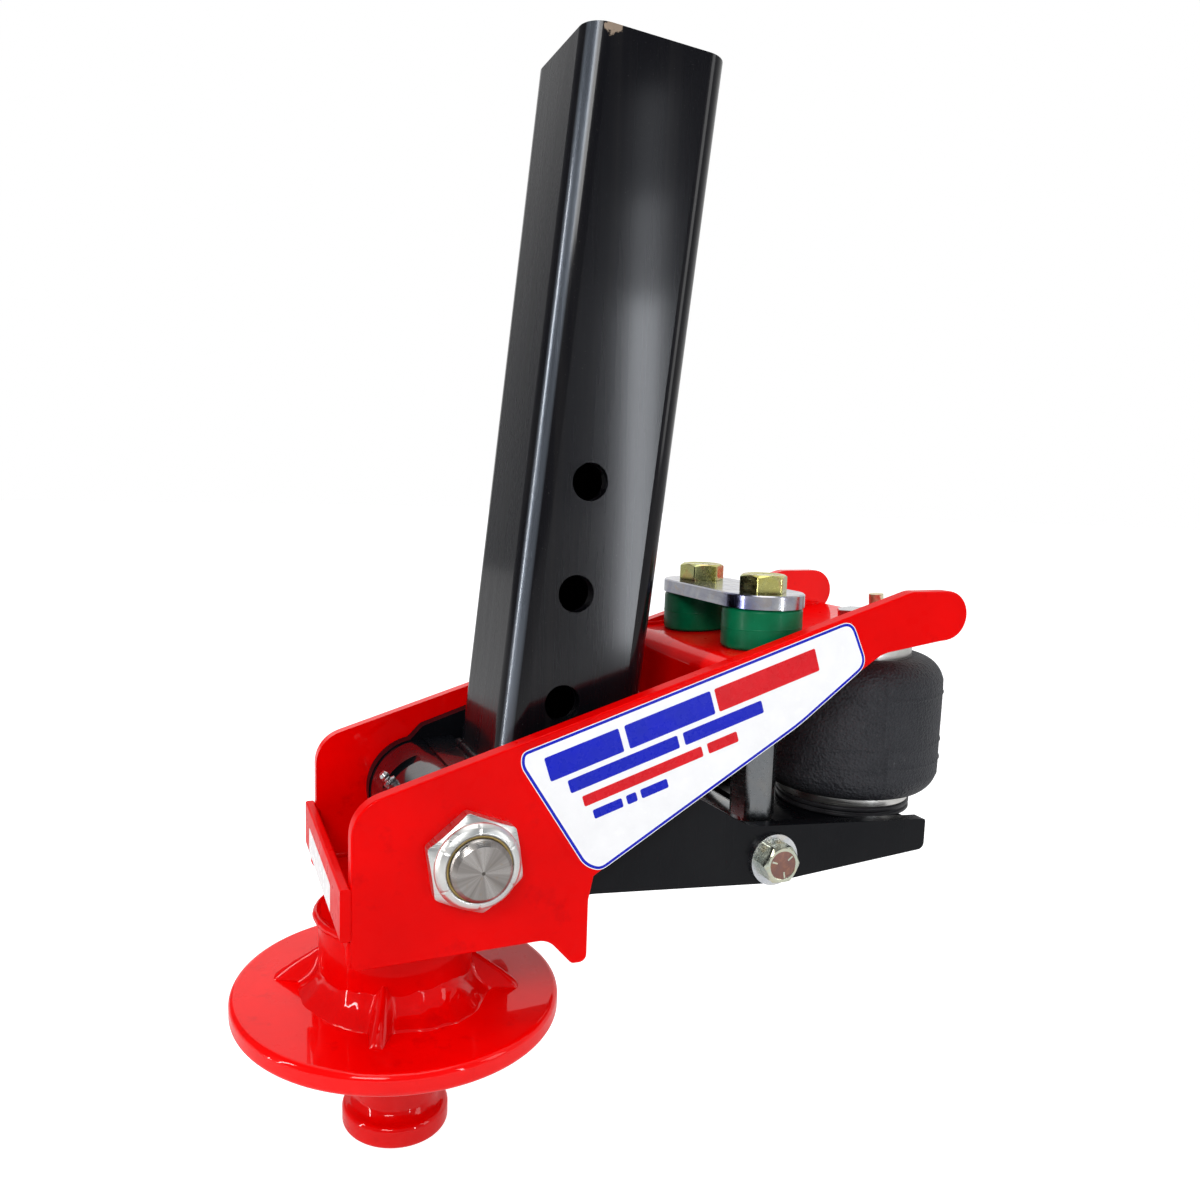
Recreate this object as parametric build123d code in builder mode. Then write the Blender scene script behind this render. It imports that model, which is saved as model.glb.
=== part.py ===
"""Air-cushioned gooseneck coupler that ends in a fifth-wheel king pin.

Millimetres, +Z up, +X towards the rear of the trailer, near side at -Y.
The origin is on the king-pin axis, in the plane of the round plate's underside.

Three groups of pieces move against each other:
  black trailer frame  stem tube, pivot tube, two arms and the air-spring seat
  red coupler          side plates, platform, round plate and king pin
  damper link          cross tube, standoffs, bolts, strap and two green bushes
"""
import os
from math import cos, radians, sin, tan

from build123d import *

os.makedirs("parts", exist_ok=True)

# ---------------------------------------------------------------- driving sizes
INCH = 25.4
CLEARANCE = 0.15            # radial play of a bolt in its hole
RUNNING_PLAY = 0.05         # radial play of a shaft that turns in its bush

# king pin, the standard two-inch pattern
PIN_NECK = 50.8
PIN_FLANGE = 71.1
PIN_COLLAR = 73.0
PIN_LENGTH = 84.0
PIN_FLANGE_WALL = 15.0
PIN_COLLAR_HEIGHT = 34.0
PIN_SPIGOT = 58.0
PIN_LAND = 72.0             # land above the collar that seats in the round plate's recess
LAND_HEIGHT = 2.0

# round plate and pipe
ROUND_PLATE = 8.5 * INCH
ROUND_PLATE_THICK = 14.0
PIPE = 4.0 * INCH
PIPE_WALL = 8.0
GUSSET_REACH = 87.0
GUSSET_HEIGHT = 34.0
GUSSET_THICK = 10.0
GUSSET_TURN = -20.0         # degrees, direction of the first gusset

# red side plates
SIDE_OUTER = 81.0           # from the middle plane to a side plate's outer face
PLATE_THICK = 9.5
SIDE_INNER = SIDE_OUTER - PLATE_THICK
SIDE_FRONT = -43.3
SIDE_BOTTOM = 67.0
TOP_SLOPE = 0.3126          # rise over run of the long top edge
TOP_AT_ZERO = 176.0         # height of that edge above the origin
LOBE_X, LOBE_Z, LOBE_RADIUS = 360.0, 262.8, 16.8

# main pivot
PIVOT_X, PIVOT_Z = 28.0, 126.5
PIVOT_PIN = 36.5
PIVOT_BUSH = 43.0
PIVOT_TUBE = 70.0
NUT_FLATS = 54.0
NUT_HEIGHT = 10.5
NUT_RING_HEIGHT = 6.5
NUT_COLLAR = 52.6
NUT_COLLAR_SLOPE = 3.0
NYLON_OUTER = 39.6
PIN_END = 104.0             # near end of the main pin, from the middle plane
FITTING_BORE = 6.0
FITTING_Y = 20.0
FITTING_SHIFT = -9.0        # down the pocket from its middle
POCKET_TURN = -42.0         # degrees from straight up, towards the front
POCKET_DEPTH = 4.0
POCKET_LENGTH = 34.0
POCKET_WIDTH = 13.0

# black frame
ARM_OUTER = 70.0
ARM_THICK = 9.5
ARM_INNER = ARM_OUTER - ARM_THICK
ARM_EYE = 36.0              # radius of the arm round the pivot
STEM_LEAN = 5.95            # degrees that the stem leans rearward
STEM = 3.75 * INCH
STEM_WALL = 9.5
STEM_CORNER = 15.0
STEM_FRONT = 35.4           # measured square to the leaning stem
STEM_BOTTOM = 108.0
STEM_TOP = 623.0
STEM_HOLE = 23.8
STEM_HOLE_PITCH = 2.75 * INCH
STEM_HOLE_MIDDLE = 287.2
STEM_HOLE_OFFSET = -10.0    # forward of the tube's middle

# platform and air spring
PLATFORM_TOP = 241.0        # height of the top face at the damper bolts
PLATFORM_SLOPE = 5.0        # degrees that the platform rises rearward
PLATFORM_THICK = 8.0
PLATFORM_FRONT = 193.0
PLATFORM_REAR = 370.0
PLATFORM_DROP = 192.0       # lower edge of the front flange
PLATFORM_BEND = 13.0
BAG_X = 345.0
BAG_RADIUS = 67.5
BAG_BOTTOM = 125.5
BAG_TOP = 226.0
SEAT_TOP = 111.3
STUD = 12.7
INLET_Y = -28.0
CAP_RADIUS = 43.5
CAP_INSET = 8.0             # how far the cap's taper reaches into the sleeve
RING_RADIUS = 47.5
RING_INSET = 6.0            # how far the crimp ring's taper reaches into the sleeve
TAPER = 4.0
DISC_RADIUS = 48.5
DISC_TOP = 119.0
SHOULDER = 19.0             # radius of the sleeve's rounded ends

# damper stack
DAMPER_X = 240.0
DAMPER_Y = 42.0
DAMPER_BOLT = 0.75 * INCH
BUSH = 54.0
STRAP_BOTTOM = 267.4
STRAP_THICK = 9.3
BOLT_FLATS = 28.6
BOLT_HEAD = 12.0
CROSS_BOLT = 0.625 * INCH
CROSS_BOLT_FLATS = 23.8
CROSS_BOLT_HEAD = 10.0
CROSS_NUT = 14.0
CROSS_X, CROSS_Z = 240.0, 100.4
CROSS_TUBE = 38.0
STANDOFF_FLATS = 28.0
STANDOFF_LENGTH = 80.0
STANDOFF_FOOT = 5.0


# ---------------------------------------------------------------- helpers
def save(piece, name):
    """Label a finished piece and write it as one STEP file."""
    piece.label = name
    export_step(piece, f"parts/{name}.step")


def across_y(y_start):
    """Sketch plane whose local x, y are the object's X, Z and whose normal is -Y."""
    return Plane(origin=(0, y_start, 0), x_dir=(1, 0, 0), z_dir=(0, -1, 0))


def slab(outline, y_low, y_high):
    """Extrude a face drawn in X, Z from y_low to y_high."""
    return extrude(across_y(y_high) * outline, amount=y_high - y_low)


def hex_across_y(x, z, flats, y_low, y_high, bore=0.0, turn=0.0, crown=1.6):
    """Hexagon along Y with its outer corners turned off and an optional bore."""
    with BuildPart() as piece:
        with BuildSketch(across_y(y_high)):
            with Locations((x, z)):
                RegularPolygon(radius=flats / 2, side_count=6, major_radius=False, rotation=turn)
                if bore:
                    Circle(bore / 2, mode=Mode.SUBTRACT)
        extrude(amount=y_high - y_low)
        with BuildSketch(across_y(y_high)):
            with Locations((x, z)):
                Circle(flats / 2 + crown)
        extrude(amount=y_high - y_low, mode=Mode.INTERSECT)
    return piece.part


def bar_across_y(x, z, diameter, y_low, y_high, bore=0.0):
    """Round bar or tube along Y."""
    with BuildPart() as piece:
        with BuildSketch(across_y(y_high)):
            with Locations((x, z)):
                Circle(diameter / 2)
                if bore:
                    Circle(bore / 2, mode=Mode.SUBTRACT)
        extrude(amount=y_high - y_low)
    return piece.part


def platform_top(x):
    """Height of the platform's sloping top face."""
    return PLATFORM_TOP + tan(radians(PLATFORM_SLOPE)) * (x - DAMPER_X)


def platform_under(x):
    """Height of the platform's sloping underside."""
    return platform_top(x) - PLATFORM_THICK / cos(radians(PLATFORM_SLOPE))


def on_platform(x, y):
    """Place on the platform's top face, with local +Z square to it."""
    return Location((x, y, platform_top(x)), (0, -PLATFORM_SLOPE, 0))


def stem_point(along, up):
    """World X, Z of a point given along and up the leaning stem."""
    lean = radians(STEM_LEAN)
    return along * cos(lean) + up * sin(lean), -along * sin(lean) + up * cos(lean)


# ---------------------------------------------------------------- king pin group
def make_king_pin():
    flange_top = -PIN_LENGTH + PIN_FLANGE_WALL
    collar_end = -PIN_COLLAR_HEIGHT
    fillet_radius = 6.0
    chamfer_size = 1.5
    with BuildPart() as king_pin:
        with BuildSketch(Plane.XZ):
            with BuildLine():
                Polyline(
                    (0, ROUND_PLATE_THICK),
                    (PIN_SPIGOT / 2, ROUND_PLATE_THICK),
                    (PIN_SPIGOT / 2, LAND_HEIGHT),
                    (PIN_LAND / 2, LAND_HEIGHT),
                    (PIN_LAND / 2, 0),
                    (PIN_COLLAR / 2, 0),
                    (PIN_COLLAR / 2, collar_end),
                    (PIN_NECK / 2, collar_end - chamfer_size),
                    (PIN_NECK / 2, flange_top + fillet_radius),
                    (PIN_FLANGE / 2 - chamfer_size, flange_top),
                    (PIN_FLANGE / 2, flange_top - chamfer_size),
                    (PIN_FLANGE / 2, -PIN_LENGTH + chamfer_size),
                    (PIN_FLANGE / 2 - chamfer_size, -PIN_LENGTH),
                    (0, -PIN_LENGTH),
                    close=True,
                )
            make_face()
        revolve(axis=Axis.Z)
    save(king_pin.part, "king_pin")


def make_round_plate():
    with BuildPart() as round_plate:
        with BuildSketch():
            Circle(ROUND_PLATE / 2)
            Circle(PIN_SPIGOT / 2, mode=Mode.SUBTRACT)
        extrude(amount=ROUND_PLATE_THICK)
        with BuildSketch():
            Circle(PIN_COLLAR / 2 + CLEARANCE)
        extrude(amount=LAND_HEIGHT, mode=Mode.SUBTRACT)
        rims = round_plate.edges().filter_by(GeomType.CIRCLE)
        fillet([rim for rim in rims if rim.radius > PIN_SPIGOT], radius=4.0)
    save(round_plate.part, "round_plate")


def make_pin_pipe():
    with BuildPart() as pin_pipe:
        with BuildSketch(Plane.XY.offset(ROUND_PLATE_THICK)):
            Circle(PIPE / 2)
            Circle(PIPE / 2 - PIPE_WALL, mode=Mode.SUBTRACT)
        extrude(amount=SIDE_BOTTOM - ROUND_PLATE_THICK)
    save(pin_pipe.part, "pin_pipe")


def make_gussets():
    """Four triangular ribs between the pipe and the round plate."""
    root = PIPE / 2 + 0.3
    base = ROUND_PLATE_THICK
    nose = 5.0
    with BuildPart() as gussets:
        for quarter in range(4):
            turn = radians(GUSSET_TURN + 90 * quarter)
            outward = (cos(turn), sin(turn), 0)
            rib_plane = Plane(origin=(0, 0, 0), x_dir=outward, z_dir=(sin(turn), -cos(turn), 0))
            with BuildSketch(rib_plane):
                with BuildLine():
                    Polyline(
                        (root, base),
                        (GUSSET_REACH, base),
                        (GUSSET_REACH, base + nose),
                        (root + nose, base + GUSSET_HEIGHT),
                        (root, base + GUSSET_HEIGHT),
                        close=True,
                    )
                make_face()
            extrude(amount=GUSSET_THICK / 2, both=True)
    save(gussets.part, "pipe_gussets")


# ---------------------------------------------------------------- red weldment
def top_edge(x):
    """Height of the side plate's long top edge."""
    return TOP_AT_ZERO + TOP_SLOPE * x


def side_outline():
    """Side plate profile: nose, long rising arm, lobe, diagonal and rounded heel."""
    lobe_top = LOBE_Z + LOBE_RADIUS
    lobe_low = LOBE_Z - LOBE_RADIUS
    shoulder_x = (lobe_top - TOP_AT_ZERO) / TOP_SLOPE
    nose = (SIDE_FRONT, top_edge(SIDE_FRONT))
    foot = (SIDE_FRONT, SIDE_BOTTOM - 1)
    shoulder = (shoulder_x, lobe_top)
    throat = (310.0, 238.4)
    heel_top = (106.0, 107.0)
    heel = (103.0, 52.0)
    heel_front = (93.0, 52.0)
    heel_rise = (77.0, 69.5)
    rounding = (
        (nose, 24), (foot, 5), (heel, 5), (heel_front, 4), (heel_rise, 14), (shoulder, 18), (throat, 25),
    )
    with BuildSketch() as outline:
        with BuildLine():
            Polyline(foot, nose, shoulder, (LOBE_X, lobe_top))
            ThreePointArc((LOBE_X, lobe_top), (LOBE_X + LOBE_RADIUS, LOBE_Z), (LOBE_X, lobe_low))
            Polyline(
                (LOBE_X, lobe_low), throat, heel_top, (heel[0], heel_top[1] - 15),
                heel, heel_front, heel_rise, foot,
            )
        make_face()
        for corner, radius in rounding:
            fillet(outline.vertices().sort_by_distance(corner)[0], radius=radius)
        with Locations((PIVOT_X, PIVOT_Z)):
            Circle(PIVOT_PIN / 2 + CLEARANCE, mode=Mode.SUBTRACT)
    return outline.sketch


def make_side_plates():
    outline = side_outline()
    edge_round = 1.2
    for name, low, high in (
        ("side_plate_near", -SIDE_OUTER, -SIDE_INNER),
        ("side_plate_far", SIDE_INNER, SIDE_OUTER),
    ):
        with BuildPart() as side_plate:
            add(slab(outline, low, high))
            outer = side_plate.faces().sort_by(Axis.Y)[0 if low < 0 else -1]
            fillet(outer.outer_wire().edges(), radius=edge_round)
        save(side_plate.part, name)


def make_front_bar():
    bar_top = 116.2
    bar_height = 31.5
    bar_thick = 6.3
    with BuildPart() as front_bar:
        with BuildSketch(Plane.XY.offset(bar_top)):
            with Locations((SIDE_FRONT - bar_thick / 2, 0)):
                Rectangle(bar_thick, 2 * SIDE_OUTER)
        extrude(amount=-bar_height)
        fillet(front_bar.edges().filter_by(Axis.Y), radius=1.5)
    save(front_bar.part, "front_bar")


def make_base_plate():
    """Plate between the side plates that closes the top of the pipe."""
    front = SIDE_FRONT + 1.0
    rear = 60.0
    with BuildPart() as base_plate:
        with BuildSketch(Plane.XY.offset(SIDE_BOTTOM)):
            with Locations(((front + rear) / 2, 0)):
                Rectangle(rear - front, 2 * SIDE_INNER)
        extrude(amount=PLATE_THICK)
    save(base_plate.part, "base_plate")


def make_platform():
    """Bent plate: front flange, large bend and a top that rises back to the lobes."""
    inner_bend = PLATFORM_BEND - PLATFORM_THICK
    flange_back = PLATFORM_FRONT + PLATFORM_THICK
    bolt_hole = DAMPER_BOLT / 2 + 4.0
    with BuildPart() as platform:
        with BuildSketch() as section:
            with BuildLine():
                Polyline(
                    (PLATFORM_FRONT, PLATFORM_DROP),
                    (PLATFORM_FRONT, platform_top(PLATFORM_FRONT)),
                    (PLATFORM_REAR, platform_top(PLATFORM_REAR)),
                    (PLATFORM_REAR, platform_under(PLATFORM_REAR)),
                    (flange_back, platform_under(flange_back)),
                    (flange_back, PLATFORM_DROP),
                    close=True,
                )
            make_face()
            bend_out = (PLATFORM_FRONT, platform_top(PLATFORM_FRONT))
            bend_in = (flange_back, platform_under(flange_back))
            fillet(section.vertices().sort_by_distance(bend_out)[0], radius=PLATFORM_BEND)
            fillet(section.vertices().sort_by_distance(bend_in)[0], radius=inner_bend)
        add(slab(section.sketch, -SIDE_INNER, SIDE_INNER), mode=Mode.REPLACE)
        above = PLATFORM_TOP + PLATFORM_THICK
        with Locations((DAMPER_X, -DAMPER_Y, above), (DAMPER_X, DAMPER_Y, above)):
            Hole(bolt_hole, depth=4 * PLATFORM_THICK)
        with Locations(on_platform(BAG_X, 0), on_platform(BAG_X, INLET_Y)):
            Hole(STUD / 2 + CLEARANCE, depth=1.5 * PLATFORM_THICK)
    save(platform.part, "platform")


# ---------------------------------------------------------------- main pivot
def make_main_pin():
    head_height = 20.0
    end_chamfer = 2.5
    with BuildPart() as main_pin:
        add(bar_across_y(PIVOT_X, PIVOT_Z, PIVOT_PIN, -PIN_END, SIDE_OUTER + 1))
        chamfer(main_pin.faces().sort_by(Axis.Y)[0].edges(), length=end_chamfer)
        add(hex_across_y(PIVOT_X, PIVOT_Z, NUT_FLATS, SIDE_OUTER, SIDE_OUTER + head_height, turn=8))
    save(main_pin.part, "main_pin")


def make_main_nut():
    """Hexagon nut with a round locking collar, and the nylon ring inside the collar."""
    nut_face = SIDE_OUTER + NUT_HEIGHT
    collar_face = nut_face + NUT_RING_HEIGHT
    with BuildPart() as main_nut:
        add(hex_across_y(
            PIVOT_X, PIVOT_Z, NUT_FLATS, -nut_face, -SIDE_OUTER, bore=PIVOT_PIN, turn=-21, crown=2.2
        ))
        add(bar_across_y(PIVOT_X, PIVOT_Z, NUT_COLLAR, -collar_face, -nut_face, bore=NYLON_OUTER))
        near_rims = main_nut.faces().sort_by(Axis.Y)[0].edges().sort_by(SortBy.RADIUS)
        chamfer(near_rims[-1], length=NUT_COLLAR_SLOPE)
    save(main_nut.part, "main_nut")
    ring = bar_across_y(PIVOT_X, PIVOT_Z, NYLON_OUTER, -collar_face, -nut_face, bore=PIVOT_PIN)
    save(ring, "main_nut_ring")


def pocket_location():
    """Middle of the flat pocket in the pivot tube's skin, with local +Z outwards."""
    turn = radians(POCKET_TURN)
    floor = PIVOT_TUBE / 2 - POCKET_DEPTH
    x = PIVOT_X + floor * sin(turn)
    z = PIVOT_Z + floor * cos(turn)
    return Location((x, FITTING_Y, z), (0, POCKET_TURN, 0))


def fitting_location():
    """Place on the pocket's floor where the grease fitting screws in."""
    return pocket_location() * Location((FITTING_SHIFT, 0, 0))


def make_pivot_tube():
    """Tube with a shallow pocket cut across it for the grease fitting."""
    with BuildPart() as pivot_tube:
        add(bar_across_y(PIVOT_X, PIVOT_Z, PIVOT_TUBE, -ARM_OUTER, ARM_OUTER, bore=PIVOT_BUSH))
        with BuildSketch(Plane(pocket_location())):
            RectangleRounded(POCKET_LENGTH, POCKET_WIDTH, 3.0)
        extrude(amount=2 * POCKET_DEPTH, mode=Mode.SUBTRACT)
        with Locations(fitting_location()):
            Hole(FITTING_BORE / 2, depth=PIVOT_TUBE / 2)
    save(pivot_tube.part, "pivot_tube")


def make_pivot_bushes():
    """Flanged bronze bushes, pressed into each end of the pivot tube."""
    reach = 45.0
    flange = 54.0
    flange_thick = 1.2
    for name, side in (("pivot_bush_near", -1), ("pivot_bush_far", 1)):
        ends = sorted((side * ARM_OUTER, side * (ARM_OUTER - reach)))
        lip = sorted((side * ARM_OUTER, side * (ARM_OUTER + flange_thick)))
        bore = PIVOT_PIN + 2 * RUNNING_PLAY
        with BuildPart() as pivot_bush:
            add(bar_across_y(PIVOT_X, PIVOT_Z, PIVOT_BUSH, ends[0], ends[1], bore=bore))
            add(bar_across_y(PIVOT_X, PIVOT_Z, flange, lip[0], lip[1], bore=bore))
        save(pivot_bush.part, name)


def make_grease_fitting():
    """Threaded foot, hexagon-sized collar and ball-ended nipple, turned about its axis."""
    foot = FITTING_BORE / 2
    collar = 4.6
    collar_top = 3.0
    neck = 2.2
    ball = 3.2
    tip = 10.5
    with BuildPart() as grease_fitting:
        with BuildSketch(Plane.XZ):
            with BuildLine():
                Polyline(
                    (0, -9), (foot, -9), (foot, 0), (collar, 0), (collar, collar_top),
                    (neck, collar_top + 1), (neck, tip - 5), (ball, tip - 4), (ball, tip - 2),
                    (neck, tip), (0, tip), close=True,
                )
            make_face()
        revolve(axis=Axis.Z)
    save(fitting_location() * grease_fitting.part, "grease_fitting")


# ---------------------------------------------------------------- black frame
def make_stem_tube():
    middle = STEM_FRONT + STEM / 2
    lean_plane = Plane.XY.rotated((0, STEM_LEAN, 0))
    with BuildPart() as stem_tube:
        with BuildSketch(lean_plane.offset(STEM_BOTTOM)):
            with Locations((middle, 0)):
                RectangleRounded(STEM, STEM, STEM_CORNER)
                bore = STEM - 2 * STEM_WALL
                RectangleRounded(bore, bore, STEM_CORNER - STEM_WALL, mode=Mode.SUBTRACT)
        extrude(amount=STEM_TOP - STEM_BOTTOM)
        for step in (-1, 0, 1):
            x, z = stem_point(middle + STEM_HOLE_OFFSET, STEM_HOLE_MIDDLE + step * STEM_HOLE_PITCH)
            add(bar_across_y(x, z, STEM_HOLE, -STEM, STEM), mode=Mode.SUBTRACT)
        saddle = bar_across_y(PIVOT_X, PIVOT_Z, PIVOT_TUBE, -STEM, STEM)
        add(saddle, mode=Mode.SUBTRACT)
    save(stem_tube.part, "stem_tube")


def make_stem_fillers():
    """Plates that fill the gap between the stem's sides and the arms."""
    front = STEM_FRONT + 12.0
    rear = STEM_FRONT + STEM - 4.0
    low = STEM_BOTTOM + 4.0
    high = STEM_BOTTOM + 82.0
    corners = [stem_point(a, u) for a, u in ((front, low), (rear, low), (rear, high), (front, high))]
    for name, low_y, high_y in (
        ("stem_filler_near", -ARM_INNER, -STEM / 2),
        ("stem_filler_far", STEM / 2, ARM_INNER),
    ):
        with BuildPart() as stem_filler:
            with BuildSketch(across_y(high_y)):
                with BuildLine():
                    Polyline(*corners, close=True)
                make_face()
                with Locations((PIVOT_X, PIVOT_Z)):
                    Circle(PIVOT_TUBE / 2, mode=Mode.SUBTRACT)
            extrude(amount=high_y - low_y)
        save(stem_filler.part, name)


def make_stem_brace():
    """Sloped plate between the top of the pivot tube and the stem's front face."""
    depth = 8.0                 # measured down the stem's face
    head_up = 168.0
    foot_x, foot_z = PIVOT_X + 3.0, PIVOT_Z + 36.0
    head = stem_point(STEM_FRONT, head_up)
    head_low = stem_point(STEM_FRONT, head_up - depth)
    with BuildPart() as stem_brace:
        with BuildSketch(across_y(ARM_INNER)):
            with BuildLine():
                Polyline((foot_x, foot_z), head, head_low, (foot_x + 4.0, foot_z - depth), close=True)
            make_face()
            with Locations((PIVOT_X, PIVOT_Z)):
                Circle(PIVOT_TUBE / 2, mode=Mode.SUBTRACT)
        extrude(amount=2 * ARM_INNER)
    save(stem_brace.part, "stem_brace")


def arm_outline():
    """Arm profile: eye round the pivot, cheek beside the stem, long rear arm."""
    eye_low = PIVOT_Z - ARM_EYE
    eye_mid = (PIVOT_X - ARM_EYE, PIVOT_Z)
    turn = radians(100)
    eye_top = (PIVOT_X + ARM_EYE * cos(turn), PIVOT_Z + ARM_EYE * sin(turn))
    cheek_front = (31.0, 171.5)
    cheek_rear = (126.0, 203.5)
    cheek_low = (152.0, 164.5)
    waist = (222.0, 123.8)
    end_top = (364.5, 116.4)
    end_low = (364.5, 94.6)
    belly = (238.0, 83.0)
    eye_rear = (112.0, eye_low)
    rounding = ((waist, 30), (belly, 40), (end_low, 5), (end_top, 2), (cheek_front, 5), (cheek_rear, 8))
    with BuildSketch() as outline:
        with BuildLine():
            ThreePointArc((PIVOT_X, eye_low), eye_mid, eye_top)
            Polyline(
                eye_top, cheek_front, cheek_rear, cheek_low, waist, end_top, end_low,
                belly, eye_rear, (PIVOT_X, eye_low),
            )
        make_face()
        for corner, radius in rounding:
            fillet(outline.vertices().sort_by_distance(corner)[0], radius=radius)
        with Locations((PIVOT_X, PIVOT_Z)):
            Circle(PIVOT_TUBE / 2, mode=Mode.SUBTRACT)
        with Locations((CROSS_X, CROSS_Z)):
            Circle(CROSS_BOLT / 2 + CLEARANCE, mode=Mode.SUBTRACT)
    return outline.sketch


def make_arms():
    outline = arm_outline()
    save(slab(outline, -ARM_OUTER, -ARM_INNER), "arm_near")
    save(slab(outline, ARM_INNER, ARM_OUTER), "arm_far")


def make_bag_seat():
    front, rear = 266.0, 364.0
    with BuildPart() as bag_seat:
        with BuildSketch(Plane.XY.offset(SEAT_TOP)):
            with Locations(((front + rear) / 2, 0)):
                Rectangle(rear - front, 2 * ARM_INNER)
            with Locations((BAG_X, 0)):
                Circle(STUD / 2 + CLEARANCE, mode=Mode.SUBTRACT)
        extrude(amount=-PLATE_THICK)
    save(bag_seat.part, "bag_seat")


# ---------------------------------------------------------------- air spring
def turned(points, name):
    """Revolve a profile about the air spring's axis and save it."""
    with BuildPart() as piece:
        with BuildSketch(Plane.XZ):
            with BuildLine():
                Polyline(*points, close=True)
            make_face()
        revolve(axis=Axis.Z)
    save(Pos(BAG_X, 0, 0) * piece.part, name)


def make_air_spring():
    ring_top = BAG_BOTTOM + RING_INSET
    cap_low = BAG_TOP - CAP_INSET
    turned(
        [(0, SEAT_TOP), (DISC_RADIUS, SEAT_TOP), (DISC_RADIUS, DISC_TOP), (0, DISC_TOP)],
        "bag_base_disc",
    )
    turned(
        [(0, DISC_TOP), (RING_RADIUS, DISC_TOP), (RING_RADIUS, BAG_BOTTOM),
         (RING_RADIUS - TAPER, ring_top), (0, ring_top)],
        "bag_crimp_ring",
    )
    front, rear = BAG_X - 2 * CAP_RADIUS, BAG_X + 2 * CAP_RADIUS
    high = platform_top(rear)
    with BuildPart() as cap:
        with BuildSketch(Plane.XZ):
            with BuildLine():
                Polyline(
                    (0, cap_low), (CAP_RADIUS - TAPER, cap_low), (CAP_RADIUS, BAG_TOP),
                    (CAP_RADIUS, high), (0, high), close=True,
                )
            make_face()
        revolve(axis=Axis.Z)
    with BuildSketch() as above_platform:
        with BuildLine():
            Polyline(
                (front, platform_under(front)), (rear, platform_under(rear)),
                (rear, 2 * high), (front, 2 * high), close=True,
            )
        make_face()
    trimmed = Pos(BAG_X, 0, 0) * cap.part - slab(above_platform.sketch, -CAP_RADIUS * 2, CAP_RADIUS * 2)
    save(trimmed, "bag_top_cap")


def make_bag_sleeve():
    """Rubber sleeve as one solid, clear of the cap and the crimp ring by a small gap."""
    wall_gap = 0.4
    ring_top = BAG_BOTTOM + RING_INSET + wall_gap
    cap_low = BAG_TOP - CAP_INSET - wall_gap
    lip = RING_RADIUS + wall_gap
    lid = CAP_RADIUS + wall_gap
    belly_top = BAG_TOP - SHOULDER
    belly_low = BAG_BOTTOM + SHOULDER
    flat_end = BAG_RADIUS - SHOULDER
    heel = SHOULDER * 0.3
    with BuildPart() as sleeve:
        with BuildSketch(Plane.XZ):
            with BuildLine():
                Polyline((lip, ring_top), (lip, BAG_BOTTOM), (flat_end, BAG_BOTTOM))
                ThreePointArc(
                    (flat_end, BAG_BOTTOM), (BAG_RADIUS - heel, BAG_BOTTOM + heel),
                    (BAG_RADIUS, belly_low),
                )
                Line((BAG_RADIUS, belly_low), (BAG_RADIUS, belly_top))
                ThreePointArc(
                    (BAG_RADIUS, belly_top), (BAG_RADIUS - heel, BAG_TOP - heel),
                    (flat_end, BAG_TOP),
                )
                Polyline(
                    (flat_end, BAG_TOP), (lid, BAG_TOP), (lid, cap_low),
                    (0, cap_low), (0, ring_top), (lip, ring_top),
                )
            make_face()
        revolve(axis=Axis.Z)
    save(Pos(BAG_X, 0, 0) * sleeve.part, "bag_sleeve")


def hex_upright(x, y, flats, z_low, z_high, bore=0.0, turn=0.0, crown=1.2):
    """Hexagon along Z with its corners turned off and an optional bore."""
    with BuildPart() as piece:
        with BuildSketch(Plane.XY.offset(z_low)):
            with Locations((x, y)):
                RegularPolygon(radius=flats / 2, side_count=6, major_radius=False, rotation=turn)
                if bore:
                    Circle(bore / 2, mode=Mode.SUBTRACT)
        extrude(amount=z_high - z_low)
        with BuildSketch(Plane.XY.offset(z_low)):
            with Locations((x, y)):
                Circle(flats / 2 + crown)
        extrude(amount=z_high - z_low, mode=Mode.INTERSECT)
    return piece.part


def rod_upright(x, y, diameter, z_low, z_high):
    """Plain round rod along Z."""
    with BuildPart() as piece:
        with BuildSketch(Plane.XY.offset(z_low)):
            with Locations((x, y)):
                Circle(diameter / 2)
        extrude(amount=z_high - z_low)
    return piece.part


def make_bag_fasteners():
    head = 7.5
    flats = 19.0
    fitting_flats = 16.0
    stem_diameter = 10.0
    fitting_hex, fitting_stem = 10.0, 22.0
    with BuildPart() as bag_top_screw:
        add(hex_upright(0, 0, flats, 0, head))
        add(rod_upright(0, 0, STUD, -PLATFORM_THICK, 0))
    save(on_platform(BAG_X, 0) * bag_top_screw.part, "bag_top_screw")
    with BuildPart() as bag_base_screw:
        add(hex_upright(BAG_X, 0, flats, SEAT_TOP - PLATE_THICK - head, SEAT_TOP - PLATE_THICK))
        add(rod_upright(BAG_X, 0, STUD, SEAT_TOP - PLATE_THICK, SEAT_TOP))
    save(bag_base_screw.part, "bag_base_screw")
    with BuildPart() as air_fitting:
        add(rod_upright(0, 0, STUD, -PLATFORM_THICK, 0))
        add(hex_upright(0, 0, fitting_flats, 0, fitting_hex))
        add(rod_upright(0, 0, stem_diameter, fitting_hex, fitting_stem))
    save(on_platform(BAG_X, INLET_Y) * air_fitting.part, "air_fitting")


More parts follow.
